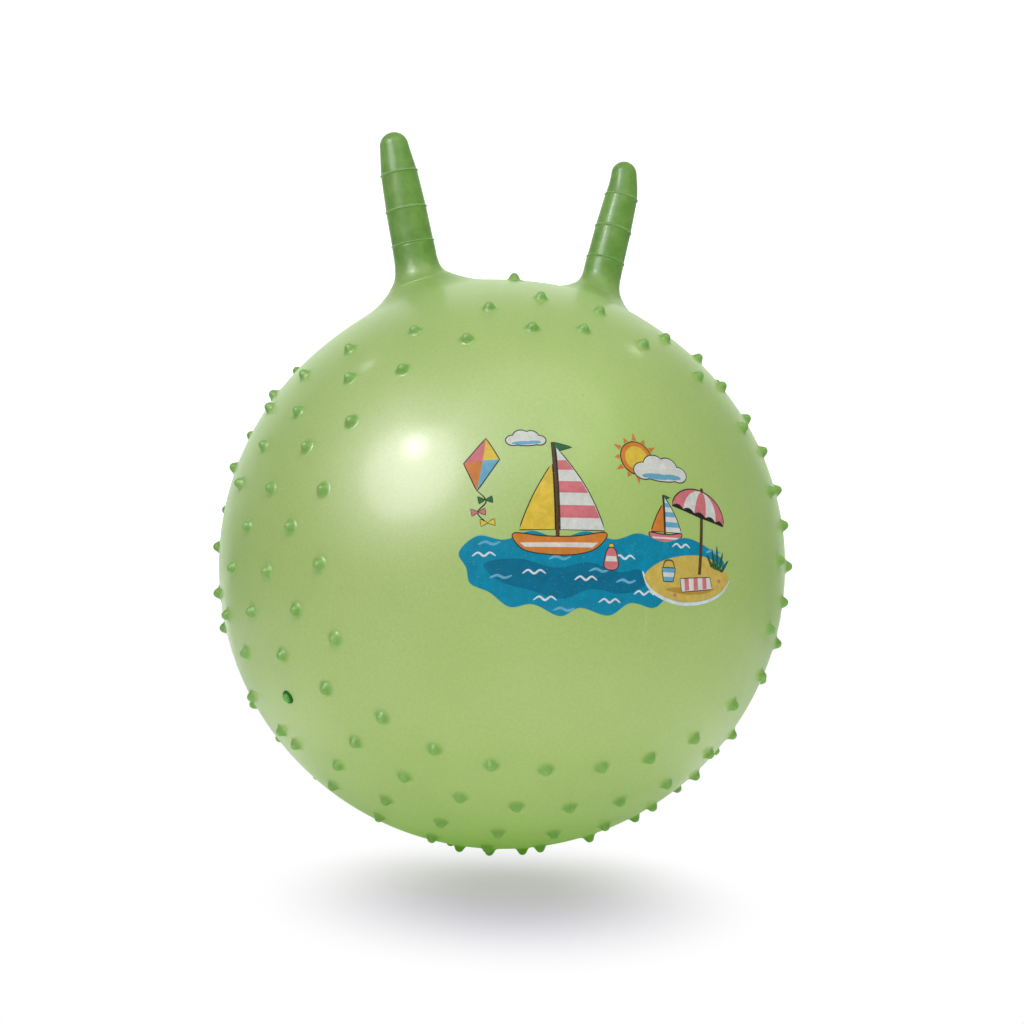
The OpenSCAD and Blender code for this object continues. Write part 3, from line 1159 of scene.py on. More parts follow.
@dataclass
class Horn:
    """One horn: a wide fillet, a waist, three raised rings and a round tip.

    Heights are counted from the lower pivot.

    Attributes:
        shape: what tells it from the other horn.
        ball: the ball that it grows from.
        lower_pivot: place of its lower joint.
        upper_pivot: place of its upper joint.
        waist_radius: radius between the fillet and the lower ring.
        apron: width of the thin apron that lies on the ball round the fillet.
        skin_gap: how far the foot stands over the ball's skin and the waist.
        apron_sink: how far the apron's edge dips into the skin.
        hem: how far in and down the closed underside lies from the apron's edge.
        ease_out: how far beyond the fillet's arc its curve starts on the ball.
        ease_up: how far beyond the arc it ends on the waist.
        ring_radii: radii of the shaft at its three rings.
        tip_radius: radius of the round tip.
        tip_draw: over the tip's middle, as a share of its radius, and the share it narrows to.
        ring_rise: height of a ring.
        ring_half: half the width of a ring.
        ring_sharpness: how steep a ring's sides are.
        ring_reach: how far round a ring the rows lie close, in half widths.
        ring_clear: how far from a ring the other rows stay, in half widths.
        lower_ring_span: where the foot's close rows begin and end round the lower ring.
        line_drop: how far the fine line lies below the lower pivot.
        line_rise: height of the fine line.
        line_half: half its width.
        line_reach: how far round it the rows lie close.
        line_highlight_share: how far its colour pales, as a share of a ring's.
        highlight_half: half the width of its pale colour.
        foot_wall: how thick the wall looks just above the line, from 0 to 1.
        wall_reach: how far above the line it is at its thickest.
        lean_span: heights over which the cross-sections turn to the shaft's lean.
        tip_span: heights over the upper ring where the tip bends.
        girth_span: heights where the horn takes on its own girth.
        swell_span: heights where the ball's swell fades.
        foot_bend: heights of the ends of the foot's bend, between the ball and the lower joint; the bend is
            not applied.
        shaft_lap: how far inside the lower ring the shaft starts.
        shaft_bend: how far over the lower ring the shaft's bend begins; the bend is not applied.
        dense_rows: points of the fillet's curve before it is thinned.
        fillet_rows: even rows of the fillet.
        line_rows: close rows round the fine line.
        waist_rows: rows of the waist.
        lower_ring_rows: close rows of the foot's own ring.
        ring_rows: close rows round each other ring.
        shaft_rows: even rows of the shaft.
        tip_rows: rows of the round tip.
        apron_stop: number of the first row above the apron.
        sides: steps round the horn.
    """

    shape: HornShape
    ball: Ball
    lower_pivot: Array
    upper_pivot: Array
    waist_radius: float = 16.3 * MM
    apron: float = 4.0 * MM
    skin_gap: float = 0.05 * MM
    apron_sink: float = 0.22 * MM
    hem: Pair = (0.1 * MM, 0.6 * MM)
    ease_out: float = 8.0 * MM
    ease_up: float = 3.0 * MM
    ring_radii: Triple = (15.95 * MM, 15.4 * MM, 13.9 * MM)
    tip_radius: float = 10.9 * MM
    tip_draw: Pair = (0.2, 0.98)
    ring_rise: float = 0.8 * MM
    ring_half: float = 0.75 * MM
    ring_sharpness: float = 1.4
    ring_reach: float = 2.0
    ring_clear: float = 2.2
    lower_ring_span: Pair = (-1.6, 1.0)
    line_drop: float = 5.6 * MM
    line_rise: float = 0.28 * MM
    line_half: float = 0.55 * MM
    line_reach: float = 2.4 * MM
    # line_highlight_share: how far its painted highlight pales it, as a share of a ring's. highlight_half:
    # half the width of its painted highlight.
    line_highlight_share: float = 0.7
    highlight_half: float = 0.45 * MM
    foot_wall: float = 0.55
    wall_reach: float = 26.0 * MM
    lean_span: Pair = (-16.0 * MM, 24.0 * MM)
    tip_span: Pair = (-8.0 * MM, 26.0 * MM)
    girth_span: Pair = (-2.0 * MM, 14.0 * MM)
    swell_span: Pair = (-14.5 * MM, 8.0 * MM)
    foot_bend: Pair = (-11.0 * MM, 15.0 * MM)
    shaft_lap: float = 0.4 * MM
    shaft_bend: float = 1.0 * MM
    dense_rows: int = 400
    fillet_rows: int = 44
    line_rows: int = 33
    waist_rows: int = 8
    lower_ring_rows: int = 14
    ring_rows: int = 17
    shaft_rows: int = 46
    tip_rows: int = 16
    apron_stop: int = 4
    sides: int = 96

    def foot_profile(self) -> Array:
        """The outline from under the ball's skin up to the lower ring.

        Apron on the ball, the fillet with its fine line, the waist, then the lower ring. The
        fillet is a cubic curve that replaces an arc of flare_radius and eases into the ball
        and the waist beyond both its ends. Its two guides lie 4/3 tan(a/4) radii from the ends
        of an arc of angle a, as in the usual cubic that stands for an arc.

        Returns:
            Rows of radius and height.
        """
        radius, flare = self.ball.radius, self.shape.flare_radius
        rise = float(np.linalg.norm(self.lower_pivot - self.ball.centre))
        centre_r = self.waist_radius + flare
        centre_s = math.sqrt((radius + flare) ** 2 - centre_r**2) - rise
        touch = radius / (radius + flare) * centre_r
        handle = 4.0 / 3.0 * math.tan((math.pi / 2 - math.asin(touch / radius)) / 4) * flare
        apron_r = np.array([self.apron, self.apron / 2, 0.0]) + touch + self.ease_out
        apron = np.stack([apron_r, np.sqrt(radius**2 - apron_r**2) - rise + self.skin_gap], axis=1)
        begin = apron[-1]
        slope = np.array([-(begin[1] + rise), begin[0]]) / radius
        end = np.array([self.waist_radius + self.skin_gap, centre_s + self.ease_up])
        guides = (begin, begin + slope * (handle + self.ease_out), end - [0.0, handle + self.ease_up], end)
        fillet = self.with_line(curve_through(guides, self.dense_rows))
        first = self.shape.rings_at[0]
        waist_s = np.linspace(end[1], first - self.ring_clear * self.ring_half, self.waist_rows)[1:]
        top_radius = (self.waist_radius + self.ring_radii[0]) / 2
        narrower = (top_radius - self.waist_radius) * smooth_step(waist_s, end[1], first)
        waist = np.stack([self.waist_radius + self.skin_gap + narrower, waist_s], axis=1)
        ring_s = first + np.linspace(*self.lower_ring_span, self.lower_ring_rows) * self.ring_half
        ring_r = self.ring_bump(ring_s, first, np.full(len(ring_s), self.ring_radii[0]))
        ring = np.stack([ring_r, ring_s], axis=1)
        apron[0, 1] -= self.apron_sink
        under = apron[0] - self.hem
        closing = [[0.0, under[1]], under]
        return np.concatenate([closing, apron[:-1], fillet, waist, ring, [[0.0, ring_s[-1]]]])

    def with_line(self, curve: Array) -> Array:
        """Thins a dense curve to the fillet's rows, close together round its fine raised line.

        The line is a bell curve of the line's rise, square to the curve.

        Args:
            curve: rows of radius and height.

        Returns:
            Fewer rows, with the line raised.
        """
        run = np.concatenate([[0.0], np.cumsum(np.linalg.norm(np.diff(curve, axis=0), axis=1))])
        line_at = float(np.interp(-self.line_drop, curve[:, 1], run))
        close = line_at + np.linspace(-self.line_reach, self.line_reach, self.line_rows)
        stations = np.sort(np.concatenate([np.linspace(0.0, run[-1], self.fillet_rows), close]))
        along = np.gradient(curve, run, axis=0)
        across = np.stack([along[:, 1], -along[:, 0]], axis=1)
        raised = curve + across * (self.line_rise * bell(run, line_at, self.line_half))[:, None]
        return np.stack([np.interp(stations, run, raised[:, axis]) for axis in (0, 1)], axis=1)

    def ring_bump(self, heights: Array, middle: float, radii: Array) -> Array:
        """Adds a raised ring to radii: a bell curve of the ring's rise round its middle."""
        share = (heights - middle) / self.ring_half
        return radii + self.ring_rise * np.exp(-(share**2) * self.ring_sharpness)

    def grip_profile(self) -> Array:
        """The outline from inside the lower ring to the tip.

        Between its rings the shaft is straight, and its tip is half an ellipse.

        Returns:
            Rows of radius and height.
        """
        first, middle, upper = self.shape.rings_at
        tip_middle = upper + self.shape.tip_length - self.tip_radius
        tip_rise, tip_share = self.tip_draw
        knots_s = np.array([first, middle, upper, tip_middle + tip_rise * self.tip_radius])
        knots_r = np.array([*self.ring_radii, self.tip_radius * tip_share])
        start = first - self.shaft_lap
        plain = np.linspace(start, tip_middle, self.shaft_rows)
        close = np.linspace(-self.ring_reach, self.ring_reach, self.ring_rows) * self.ring_half
        clear = np.min(np.abs(plain[:, None] - np.array([middle, upper])), axis=1)
        plain = plain[clear > self.ring_clear * self.ring_half]
        heights = np.sort(np.concatenate([plain, middle + close, upper + close]))
        radii = np.interp(heights, knots_s, knots_r)
        for at in (middle, upper):
            radii = self.ring_bump(heights, at, radii)
        last = np.interp(tip_middle, knots_s, knots_r)
        angles = np.linspace(0.0, math.pi / 2, self.tip_rows)[1:]
        dome = ellipse(0.0, tip_middle, last, self.tip_radius, angles)
        dome[-1, 0] = 0.0
        return np.concatenate([[[0.0, start]], np.stack([radii, heights], axis=1), dome])

    def lean(self, heights: Array) -> Array:
        """Lean of the cross-sections, from the ball's own radius at the foot to the pivots' line."""
        foot, shaft = (
            math.atan2(abs(line[0]), line[2])
            for line in (self.lower_pivot - self.ball.centre, self.upper_pivot - self.lower_pivot)
        )
        return foot + (shaft - foot) * smooth_step(heights, *self.lean_span)

    def place(self, points: Array) -> Array:
        """Carries a turned surface to its place along the horn.

        Each point leans about the lower pivot by its height's lean, and above the upper ring it
        bends inwards about that ring: the bend grows as a smooth step towards the tip.

        Args:
            points: n by 3 points of the upright horn.

        Returns:
            n by 3 points of the model.
        """
        heights = points[:, 2]
        upper = self.shape.rings_at[2]
        bend = -math.radians(self.shape.tip_turn) * smooth_step(heights - upper, *self.tip_span)
        above = np.maximum(heights - upper, 0.0)
        x = points[:, 0] * np.cos(bend) + above * np.sin(bend)
        z = np.minimum(heights, upper) + above * np.cos(bend) - points[:, 0] * np.sin(bend)
        lean = self.lean(heights)
        out_x = x * np.cos(lean) + z * np.sin(lean)
        out_z = -x * np.sin(lean) + z * np.cos(lean)
        return np.stack([out_x * self.shape.side, points[:, 1], out_z], axis=1) + self.lower_pivot

    def along(self, height: float) -> Triple:
        """A point of the shaft's line, at a height over the lower pivot."""
        return tuple((self.lower_pivot + unit(self.upper_pivot - self.lower_pivot) * height).tolist())

    def surface(self, profile: Array) -> Surface:
        """Turns the profile and carries it to its place, with its faces outwards.

        The foot swells with the ball, less and less towards its waist.

        Args:
            profile: rows of radius and height.

        Returns:
            The closed surface.
        """
        made = turned(profile, self.sides)
        heights = made.points[:, 2]
        girth = 1.0 + (self.shape.girth - 1.0) * smooth_step(heights, *self.girth_span)
        made.points[:, :2] *= girth[:, None]
        share = 1.0 - smooth_step(heights, *self.swell_span)
        made.points = self.ball.swell(self.place(made.points), share)
        if self.shape.side < 0:
            made.faces = [face[::-1] for face in made.faces]
        return made

    def build_foot(self) -> None:
        """Makes the horn's foot, which thickens from the ball's wall to the horn's own."""
        profile = self.foot_profile()
        surface = self.surface(profile)
        above = profile[:, 1] + self.line_drop
        thicker = self.foot_wall + (1.0 - self.foot_wall) * smooth_step(above, 0.0, self.wall_reach)
        # Below the fine line the foot takes the ball's share, with its painted reflection of the horn.
        on_ball = self.ball.thickness(surface.points)
        wall = np.where(above[surface.rows] > 0.0, thicker[surface.rows], on_ball)
        # Painted highlight: the fine line and the lower ring are painted paler.
        line = self.line_highlight_share * bell(above, 0.0, self.highlight_half)
        ring = bell(profile[:, 1], self.shape.rings_at[0], self.ring_half)
        normals = np.zeros_like(surface.points)
        apron = (surface.rows > 0) & (surface.rows < self.apron_stop)
        normals[apron] = self.ball.skin_normals(surface.points[apron])
        low, high = self.foot_bend
        name, root = f"{self.shape.name}_horn", self.shape.root
        nodes = (f"{name}_neck", f"{name}_root")
        marks = {"wall_share": wall, "rim_share": np.maximum(line, ring)[surface.rows]}
        Piece(
            f"{name}_foot", surface, HORN.material(), root, Slot.NECKS, nodes, marks, normals
        ).build(Bend(Body.BALL, root, self.along(low), self.along(high)))

    def build_shaft(self) -> None:
        """Makes the horn's shaft and tip."""
        profile = self.grip_profile()
        surface = self.surface(profile)
        heights = self.shape.rings_at
        first, middle, _ = heights
        # Painted highlight: each ring is painted paler.
        rings = np.max([bell(profile[:, 1], at, self.ring_half) for at in heights], axis=0)
        name, grip = f"{self.shape.name}_horn", self.shape.grip
        marks = {"wall_share": np.ones(len(surface.points)), "rim_share": rings[surface.rows]}
        Piece(
            f"{name}_shaft", surface, HORN.material(), grip, Slot.HORNS, (f"{name}_grip",), marks
        ).build(Bend(self.shape.root, grip, self.along(first + self.shaft_bend), self.along(middle)))

    def build(self) -> None:
        """Makes the horn's foot and shaft."""
        self.build_foot()
        self.build_shaft()


# The printed picture


class Ink(Enum):
    """The picture's inks, as display colours."""

    TEAL = (6, 150, 182)
    DEEP_TEAL = (6, 122, 154)
    FOAM = (226, 240, 240)
    SKY = (112, 186, 214)
    SAND = (222, 196, 92)
    SAND_SHADE = (198, 160, 66)
    YELLOW = (240, 208, 72)
    ORANGE = (226, 140, 58)
    CORAL = (226, 128, 132)
    WHITE = (232, 236, 226)
    LEAF = (46, 118, 66)
    BROWN = (104, 72, 40)
    LINE = (40, 44, 38)


@dataclass(frozen=True)
class Motif:
    """One printed area: its outline in millimetres on the picture, and its ink."""

    outline: Array
    ink: Ink


def oval(x: float, y: float, half_width: float, half_height: float, steps: int = 40) -> Array:
    """An ellipse's whole outline."""
    return ellipse(x, y, half_width, half_height, np.arange(steps) * (2 * math.pi / steps))


def cubic(points: Sequence[Array], t: Array) -> Array:
    """The smooth curve from b to c at shares t of the way, for points a, b, c and d in a row.

    It is (2b + (c - a) t + (2a - 5b + 4c - d) t^2 + (3b - a - 3c + d) t^3) / 2, whose slope at b
    and at c is half the step between their neighbours.
    """
    a, b, c, d = points
    return 0.5 * (2 * b + (c - a) * t + (2 * a - 5 * b + 4 * c - d) * t**2 + (3 * b - a - 3 * c + d) * t**3)


def through(points: Sequence[Pair], steps: int = 7) -> Array:
    """A smooth closed outline.

    Args:
        points: what it passes through.
        steps: points of the outline for each of them.

    Returns:
        Rows of x and y.
    """
    p = np.array(points, float)
    t = np.linspace(0.0, 1.0, steps, endpoint=False)[None, :, None]
    return cubic([np.roll(p, shift, axis=0)[:, None] for shift in (1, 0, -1, -2)], t).reshape(-1, 2)


def ribbon(points: Sequence[Pair], width: float, steps: int = 6, end_share: float = 0.35) -> Array:
    """A stroke along an open smooth line.

    Args:
        points: what its middle line passes through.
        width: of the stroke at its middle.
        steps: points of the line for each of the points.
        end_share: the ends' width, as a share of the middle's.

    Returns:
        Rows of x and y.
    """
    p = np.array(points, float)
    count = (len(p) - 1) * steps + 1
    at = np.linspace(0, len(p) - 1, count)
    index = np.minimum(at.astype(int), len(p) - 2)
    padded = np.concatenate([[2 * p[0] - p[1]], p, [2 * p[-1] - p[-2]]])
    line = cubic([padded[index + shift] for shift in range(4)], (at - index)[:, None])
    along = np.gradient(line, axis=0)
    across = units(np.stack([-along[:, 1], along[:, 0]], axis=1))
    swelling = np.sin(np.linspace(0.0, math.pi, count)) ** 0.5
    half = 0.5 * width * (end_share + (1 - end_share) * swelling)[:, None]
    return np.concatenate([line + across * half, (line - across * half)[::-1]])


def signed_area(outline: Array) -> float:
    """The outline's area, which is positive where it runs leftwards: half the sum of x dy - y dx."""
    after = np.roll(outline, -1, axis=0)
    return float(np.sum(outline[:, 0] * after[:, 1] - after[:, 0] * outline[:, 1])) / 2.0


def leftwards(outline: Array) -> Array:
    """The outline, running leftwards round its inside."""
    return outline if signed_area(outline) > 0 else outline[::-1]


def grown(outline: Array, by: float) -> Array:
    """The outline, moved outwards by that much along its own normals."""
    along = np.roll(outline, -1, axis=0) - np.roll(outline, 1, axis=0)
    across = units(np.stack([along[:, 1], -along[:, 0]], axis=1))
    return outline + across * by * math.copysign(1.0, signed_area(outline))


def fine(outline: Sequence[Pair], step: float = 3.0) -> Array:
    """A straight-sided outline with more points along its sides.

    Args:
        outline: its corners.
        step: the largest distance between points.

    Returns:
        Rows of x and y.
    """
    p = np.array(outline, float)
    after = np.roll(p, -1, axis=0)
    counts = np.maximum(1, np.ceil(np.linalg.norm(after - p, axis=1) / step).astype(int))
    return np.concatenate([a + (b - a) * (np.arange(n) / n)[:, None] for a, b, n in zip(p, after, counts)])


def inked(outlines: Sequence[Array], ink: Ink) -> list[Motif]:
    """One motif for each outline, all in one ink."""
    return [Motif(outline, ink) for outline in outlines]


def edged(outlines: Sequence[Array], line: float, ink: Ink) -> list[Motif]:
    """The outlines in one ink, over dark lines of that width round them all."""
    return inked([grown(outline, line) for outline in outlines], Ink.LINE) + inked(outlines, ink)


@dataclass
class Picture:
    """The seaside picture on the smooth panel: boats, sun, clouds, a kite and a parasol.

    Every place on it is in millimetres to the right of its middle and above it. Each of its
    parts is a list of motifs, the lowest first.

    Attributes:
        ball: the ball that it is printed on.
        bearing: direction of the picture's middle, in degrees right of the panel's side.
        rise: direction of the picture's middle over the ball's middle, in degrees.
        lift: height of the ink over the skin.
        sink: depth of the ink's closed underside.
        grid: spacing of the points inside the inks, in millimetres.
        line_width: width of the dark line round a large motif, in millimetres.
        weld: distance, in millimetres, below which two points are one.
        sliver: a triangle of less than this, in square millimetres, is left out.
    """

    ball: Ball
    bearing: float = 1.7
    rise: float = 8.6
    lift: float = 0.09 * MM
    sink: float = 0.25 * MM
    grid: float = 5.0
    line_width: float = 0.75
    weld: float = 1e-4
    sliver: float = 5e-8

    def sea(self) -> list[Motif]:
        """The water with its crests.

        Returns:
            Its motifs.
        """
        water = [
            (-101, -22), (-88, -11), (-70, -14), (-52, -8), (-33, -13), (-14, -8), (6, -13), (25, -8),
            (45, -13), (64, -9), (84, -14), (103, -24), (99, -36), (84, -41), (70, -52), (52, -50),
            (39, -59), (20, -56), (4, -65), (-17, -60), (-31, -66), (-50, -58), (-66, -60), (-80, -50),
            (-93, -44), (-96, -33),
        ]
        deep = [
            (-84, -30), (-60, -27), (-36, -33), (-12, -29), (10, -35), (26, -33), (30, -44), (12, -50),
            (-10, -47), (-30, -54), (-54, -48), (-74, -42),
        ]
        crests = [(-92, -25), (-58, -37), (-22, -41), (6, -26), (-4, -56), (-50, -55), (22, -50), (52, -16)]
        glints = [(-80, -40), (-40, -27), (-12, -35), (-36, -62), (8, -42), (84, -18), (-88, -17)]
        crest = [(0, 0), (4, 2.4), (8, 0), (12, 2.4), (16, 0)]
        glint = [(0, 0), (5, 1.8), (10, 0), (15, 1.6)]
        return [
            Motif(through(water), Ink.TEAL),
            Motif(through(deep), Ink.DEEP_TEAL),
            *inked([ribbon([(x + a, y + b) for a, b in glint], 1.9) for x, y in glints], Ink.SKY),
            *inked([ribbon([(x + a, y + b) for a, b in crest], 1.5) for x, y in crests], Ink.FOAM),
        ]

    def beach(self) -> list[Motif]:
        """The sand spit with its grass, pail, towel and shells.

        Returns:
            Its motifs.
        """
        sand = [
            (30, -36), (42, -27), (60, -22), (80, -21), (97, -26), (109, -36), (101, -45), (84, -52),
            (62, -54), (44, -50), (34, -44),
        ]
        shade = [(48, -46), (66, -49), (86, -47), (100, -41), (92, -44), (74, -46), (58, -44)]
        surf = [(28, -34), (33.5, -44.5), (44.5, -51.5), (62, -55.6), (84, -53.8), (101.5, -46.8), (110, -37)]
        grass = [(90, -28, 84, 9), (92.5, -29, 89.5, 14), (95, -29.5, 95, 17), (97.5, -30, 101.5, 13)]
        grass.append((100, -31, 108, 9))
        blades = [fine([(x - 1.2, y), (tip, y + height), (x + 1.4, y)]) for x, y, tip, height in grass]
        pail = fine([(44, -31), (45.6, -40), (53.4, -40), (55, -31)])
        pail_band = fine([(44.5, -34), (45.1, -37), (53.9, -37), (54.5, -34)])
        handle = ribbon([(44.5, -31), (46.5, -26), (52.5, -26), (54.5, -31)], 1.1)
        towel = fine([(60, -38), (88, -36), (91, -44), (62, -47)])
        towel_bands = []
        for x in (63.5, 72, 80.5):
            top = [(x, -38 + (x - 60) * 0.07), (x + 4, -38 + (x - 56) * 0.07)]
            foot = [(x + 5.2, -46.5 + (x - 56) * 0.1), (x + 1.2, -46.8 + (x - 60) * 0.1)]
            towel_bands.append(fine(top + foot))
        shells = [oval(98, -38, 2.0, 1.5, 14), oval(56, -49.5, 1.7, 1.3, 14)]
        return [
            Motif(ribbon(surf, 2.4), Ink.FOAM),
            Motif(through(sand), Ink.SAND),
            Motif(through(shade), Ink.SAND_SHADE),
            *edged(blades, 0.5, Ink.LEAF),
            Motif(handle, Ink.BROWN),
            *edged([pail], 0.7, Ink.SKY),
            Motif(pail_band, Ink.WHITE),
            *edged([towel], 0.6, Ink.WHITE),
            *inked(towel_bands + shells, Ink.CORAL),
        ]

    def parasol(self) -> list[Motif]:
        """The striped parasol on the sand.

        Returns:
            Its motifs.
        """
        radius, height, drop, scallop, lean = 25.0, 18.0, 1.0, 2.2, -0.22
        turn = np.array([[math.cos(lean), -math.sin(lean)], [math.sin(lean), math.cos(lean)]])
        hub = np.array([82.0, 27.0]) + turn @ np.array([0.0, -height])
        quarter = np.linspace(0.0, 1.0, 10) * math.pi / 2
        rim_x = np.array([-1.0, -0.62, -0.2, 0.24, 0.66, 1.0]) * radius
        ribs = [np.stack([x * np.sin(quarter), height * np.cos(quarter) - drop], axis=1) for x in rim_x]
        dip = scallop * np.sin(np.linspace(0, math.pi, 7)[1:-1]) - drop
        stripes = []
        for index, ink in enumerate([Ink.CORAL, Ink.WHITE, Ink.CORAL, Ink.WHITE, Ink.CORAL]):
            hem = np.stack([np.linspace(rim_x[index], rim_x[index + 1], 7)[1:-1], dip], axis=1)
            stripe = np.concatenate([ribs[index], hem, ribs[index + 1][::-1][:-1]])
            stripes.append(Motif(stripe @ turn.T + hub, ink))
        whole = np.concatenate([ribs[0][::-1], ribs[-1][1:], [[0.0, -2.0]]]) @ turn.T + hub
        pole = fine([(76.6, -34), (79.8, 22), (81.4, 22), (78.4, -34)])
        knob = oval(*(hub + turn @ np.array([0.0, 18.2])), 1.5, 1.9, 12)
        return [
            *edged([pole], 0.5, Ink.BROWN),
            Motif(grown(whole, 0.9), Ink.LINE),
            *stripes,
            Motif(knob, Ink.BROWN),
        ]

    def boat(self, place: Pair, size: float, hull: Ink, stripes: Ink, jib: Ink, flag: Ink) -> list[Motif]:
        """A sailing boat.

        Args:
            place: of its mast on its deck.
            size: its scale, 1 for a boat about 60 mm long.
            hull: ink of the hull.
            stripes: ink of the main sail's stripes.
            jib: ink of the front sail.
            flag: ink of the pennant.

        Returns:
            The boat's motifs, the lowest first.
        """

        def straight(points: Sequence[Pair]) -> Array:
            """Scales and places a straight-sided outline."""
            return fine(points, 3.0 / size) * size + place

        def edge(t: Array, mast: float, reach: float, belly: float, height: float) -> Array:
            """A sail's outer edge, from the boom up to the mast: a line that bellies out as a sine."""
            x = mast + reach * (1 - t) + belly * np.sin(t * math.pi)
            return np.stack([x, foot + height * t], axis=1)

        foot, mast_side, height = 4.0, 2.0, 58.0
        t = np.linspace(0.0, 1.0, 14)
        leech, luff = edge(t, mast_side, 31.0, 3.4, height), edge(t, -mast_side, -24.0, -2.2, 46.0)
        main_sail = np.concatenate([[[mast_side, foot]], leech]) * size + place
        front_sail = np.concatenate([[[-mast_side, foot]], luff]) * size + place
        bands = []
        for low, high in [(0.14, 0.29), (0.44, 0.58), (0.72, 0.84)]:
            inner = [[mast_side, foot + height * share] for share in (low, high)]
            outer = edge(np.linspace(low, high, 5), 1.7, 31.0, 3.2, height)
            bands.append(np.concatenate([inner[:1], outer, inner[1:]]) * size + place)
        mast = straight([(-1.0, -2), (-1.0, 66), (0.8, 66), (0.8, -2)])
        keel = [(-30, 1), (-24, -9), (-8, -12.5), (12, -12.5), (27, -8), (34, 2), (12, -0.8), (-10, -0.8)]
        return [
            *edged([mast], self.line_width * 0.6, Ink.BROWN),
            *edged([straight([(0.8, 66), (13, 62.5), (0.8, 59)])], self.line_width * 0.7, flag),
            *edged([main_sail], self.line_width, Ink.WHITE),
            *inked(bands, stripes),
            *edged([front_sail], self.line_width, jib),
            *edged([through(keel) * size + place], self.line_width, hull),
            Motif(straight([(-26, -5), (-22.5, -8), (24, -8), (28.5, -4.6)]), Ink.WHITE),
        ]

    def sun(self) -> list[Motif]:
        """The sun and its rays, every other one longer.

        Returns:
            Its motifs.
        """
        x, y, radius, spread = 27.0, 46.0, 12.0, 0.15
        foot, tips, inner = radius * 1.12, (radius * 1.42, radius * 1.62), radius * 0.74
        rays = []
        for index, angle in enumerate(np.arange(12) * (math.pi / 6)):
            corners = [(foot, angle - spread), (tips[index % 2], angle), (foot, angle + spread)]
            rays.append(fine([(x + reach * math.cos(a), y + reach * math.sin(a)) for reach, a in corners]))
        return [
            *inked(rays, Ink.ORANGE),
            *edged([oval(x, y, radius, radius)], self.line_width, Ink.ORANGE),
            Motif(oval(x, y, inner, inner), Ink.YELLOW),
        ]

    def cloud(self, x: float, y: float, size: float) -> list[Motif]:
        """A cloud of a few round heaps on a flat foot, with a pale blue underside.

        Args:
            x: place of its middle.
            y: height of its middle.
            size: its scale, 1 for a cloud about 46 mm wide.

        Returns:
            Its motifs.
        """
        heaps = [(-15, 0, 8, 6), (-6, 4, 9, 8), (5, 3, 8.5, 8), (14, -0.5, 7, 5.5), (0, -2, 16, 4.5)]
        under = [(-5, -3.6, 12, 2.2), (8, -3.0, 8, 2.0)]
        heap_ovals, under_ovals = (
            [oval(x + size * a, y + size * b, size * c, size * d, steps) for a, b, c, d in rows]
            for rows, steps in ((heaps, 30), (under, 22))
        )
        return edged(heap_ovals, self.line_width, Ink.WHITE) + inked(under_ovals, Ink.SKY)

    def kite(self) -> list[Motif]:
        """The kite with its tail of bows.

        Returns:
            Its motifs.
        """
        x, y = -84.0, 40.0
        top, right, foot, left = (x + 4, y + 19), (x + 12, y + 3), (x - 4, y - 19), (x - 12, y + 1)
        middle = (x + 0.8, y + 2.6)
        tail = ribbon([foot, (x + 2, y - 27), (x - 4, y - 35), (x + 3, y - 43)], 0.9)
        bows = []
        for a, b, ink in [(1.4, -26, Ink.LEAF), (-3.6, -34.5, Ink.CORAL), (2.6, -42, Ink.YELLOW)]:
            knot = (x + a, y + b)
            for ends in (((-5, 2.4), (-4.2, -2.6)), ((4.6, 2.6), (5, -2.0))):
                bows.append(Motif(fine([knot, *[(knot[0] + c, knot[1] + d) for c, d in ends]]), ink))
        return [
            Motif(tail, Ink.LINE),
            Motif(grown(fine([top, right, foot, left]), self.line_width), Ink.LINE),
            Motif(fine([top, middle, left]), Ink.CORAL),
            Motif(fine([top, right, middle]), Ink.YELLOW),
            Motif(fine([middle, right, foot]), Ink.SKY),
            Motif(fine([left, middle, foot]), Ink.ORANGE),
            *inked([grown(bow.outline, 0.45) for bow in bows], Ink.LINE),
            *bows,
        ]

    def buoy(self) -> list[Motif]:
        """A striped buoy on the water.

        Returns:
            Its motifs.
        """
        x, y = 4.0, -31.0
        body = through([(x - 5, y), (x - 2.6, y + 11), (x + 2.6, y + 11), (x + 5, y), (x, y - 2.6)])
        band = fine([(x - 4.3, y + 3), (x - 3.4, y + 6.6), (x + 3.4, y + 6.6), (x + 4.3, y + 3)])
        return [
            *edged([oval(x, y + 13.4, 1.7, 1.7, 14)], 0.5, Ink.YELLOW),
            *edged([body], 0.7, Ink.CORAL),
            Motif(band, Ink.WHITE),
        ]

    def motifs(self) -> list[Motif]:
        """The whole picture.

        Returns:
            All motifs, the lowest first.
        """
        return (
            self.sun()
            + self.cloud(47, 37, 1.0)
            + self.cloud(-52, 57, 0.62)
            + self.kite()
            + self.boat((46, -7.5), 0.42, Ink.CORAL, Ink.SKY, Ink.ORANGE, Ink.LEAF)
            + self.sea()
            + self.boat((-34, -11), 1.0, Ink.ORANGE, Ink.CORAL, Ink.YELLOW, Ink.LEAF)
            + self.buoy()
            + self.beach()
            + self.parasol()
        )

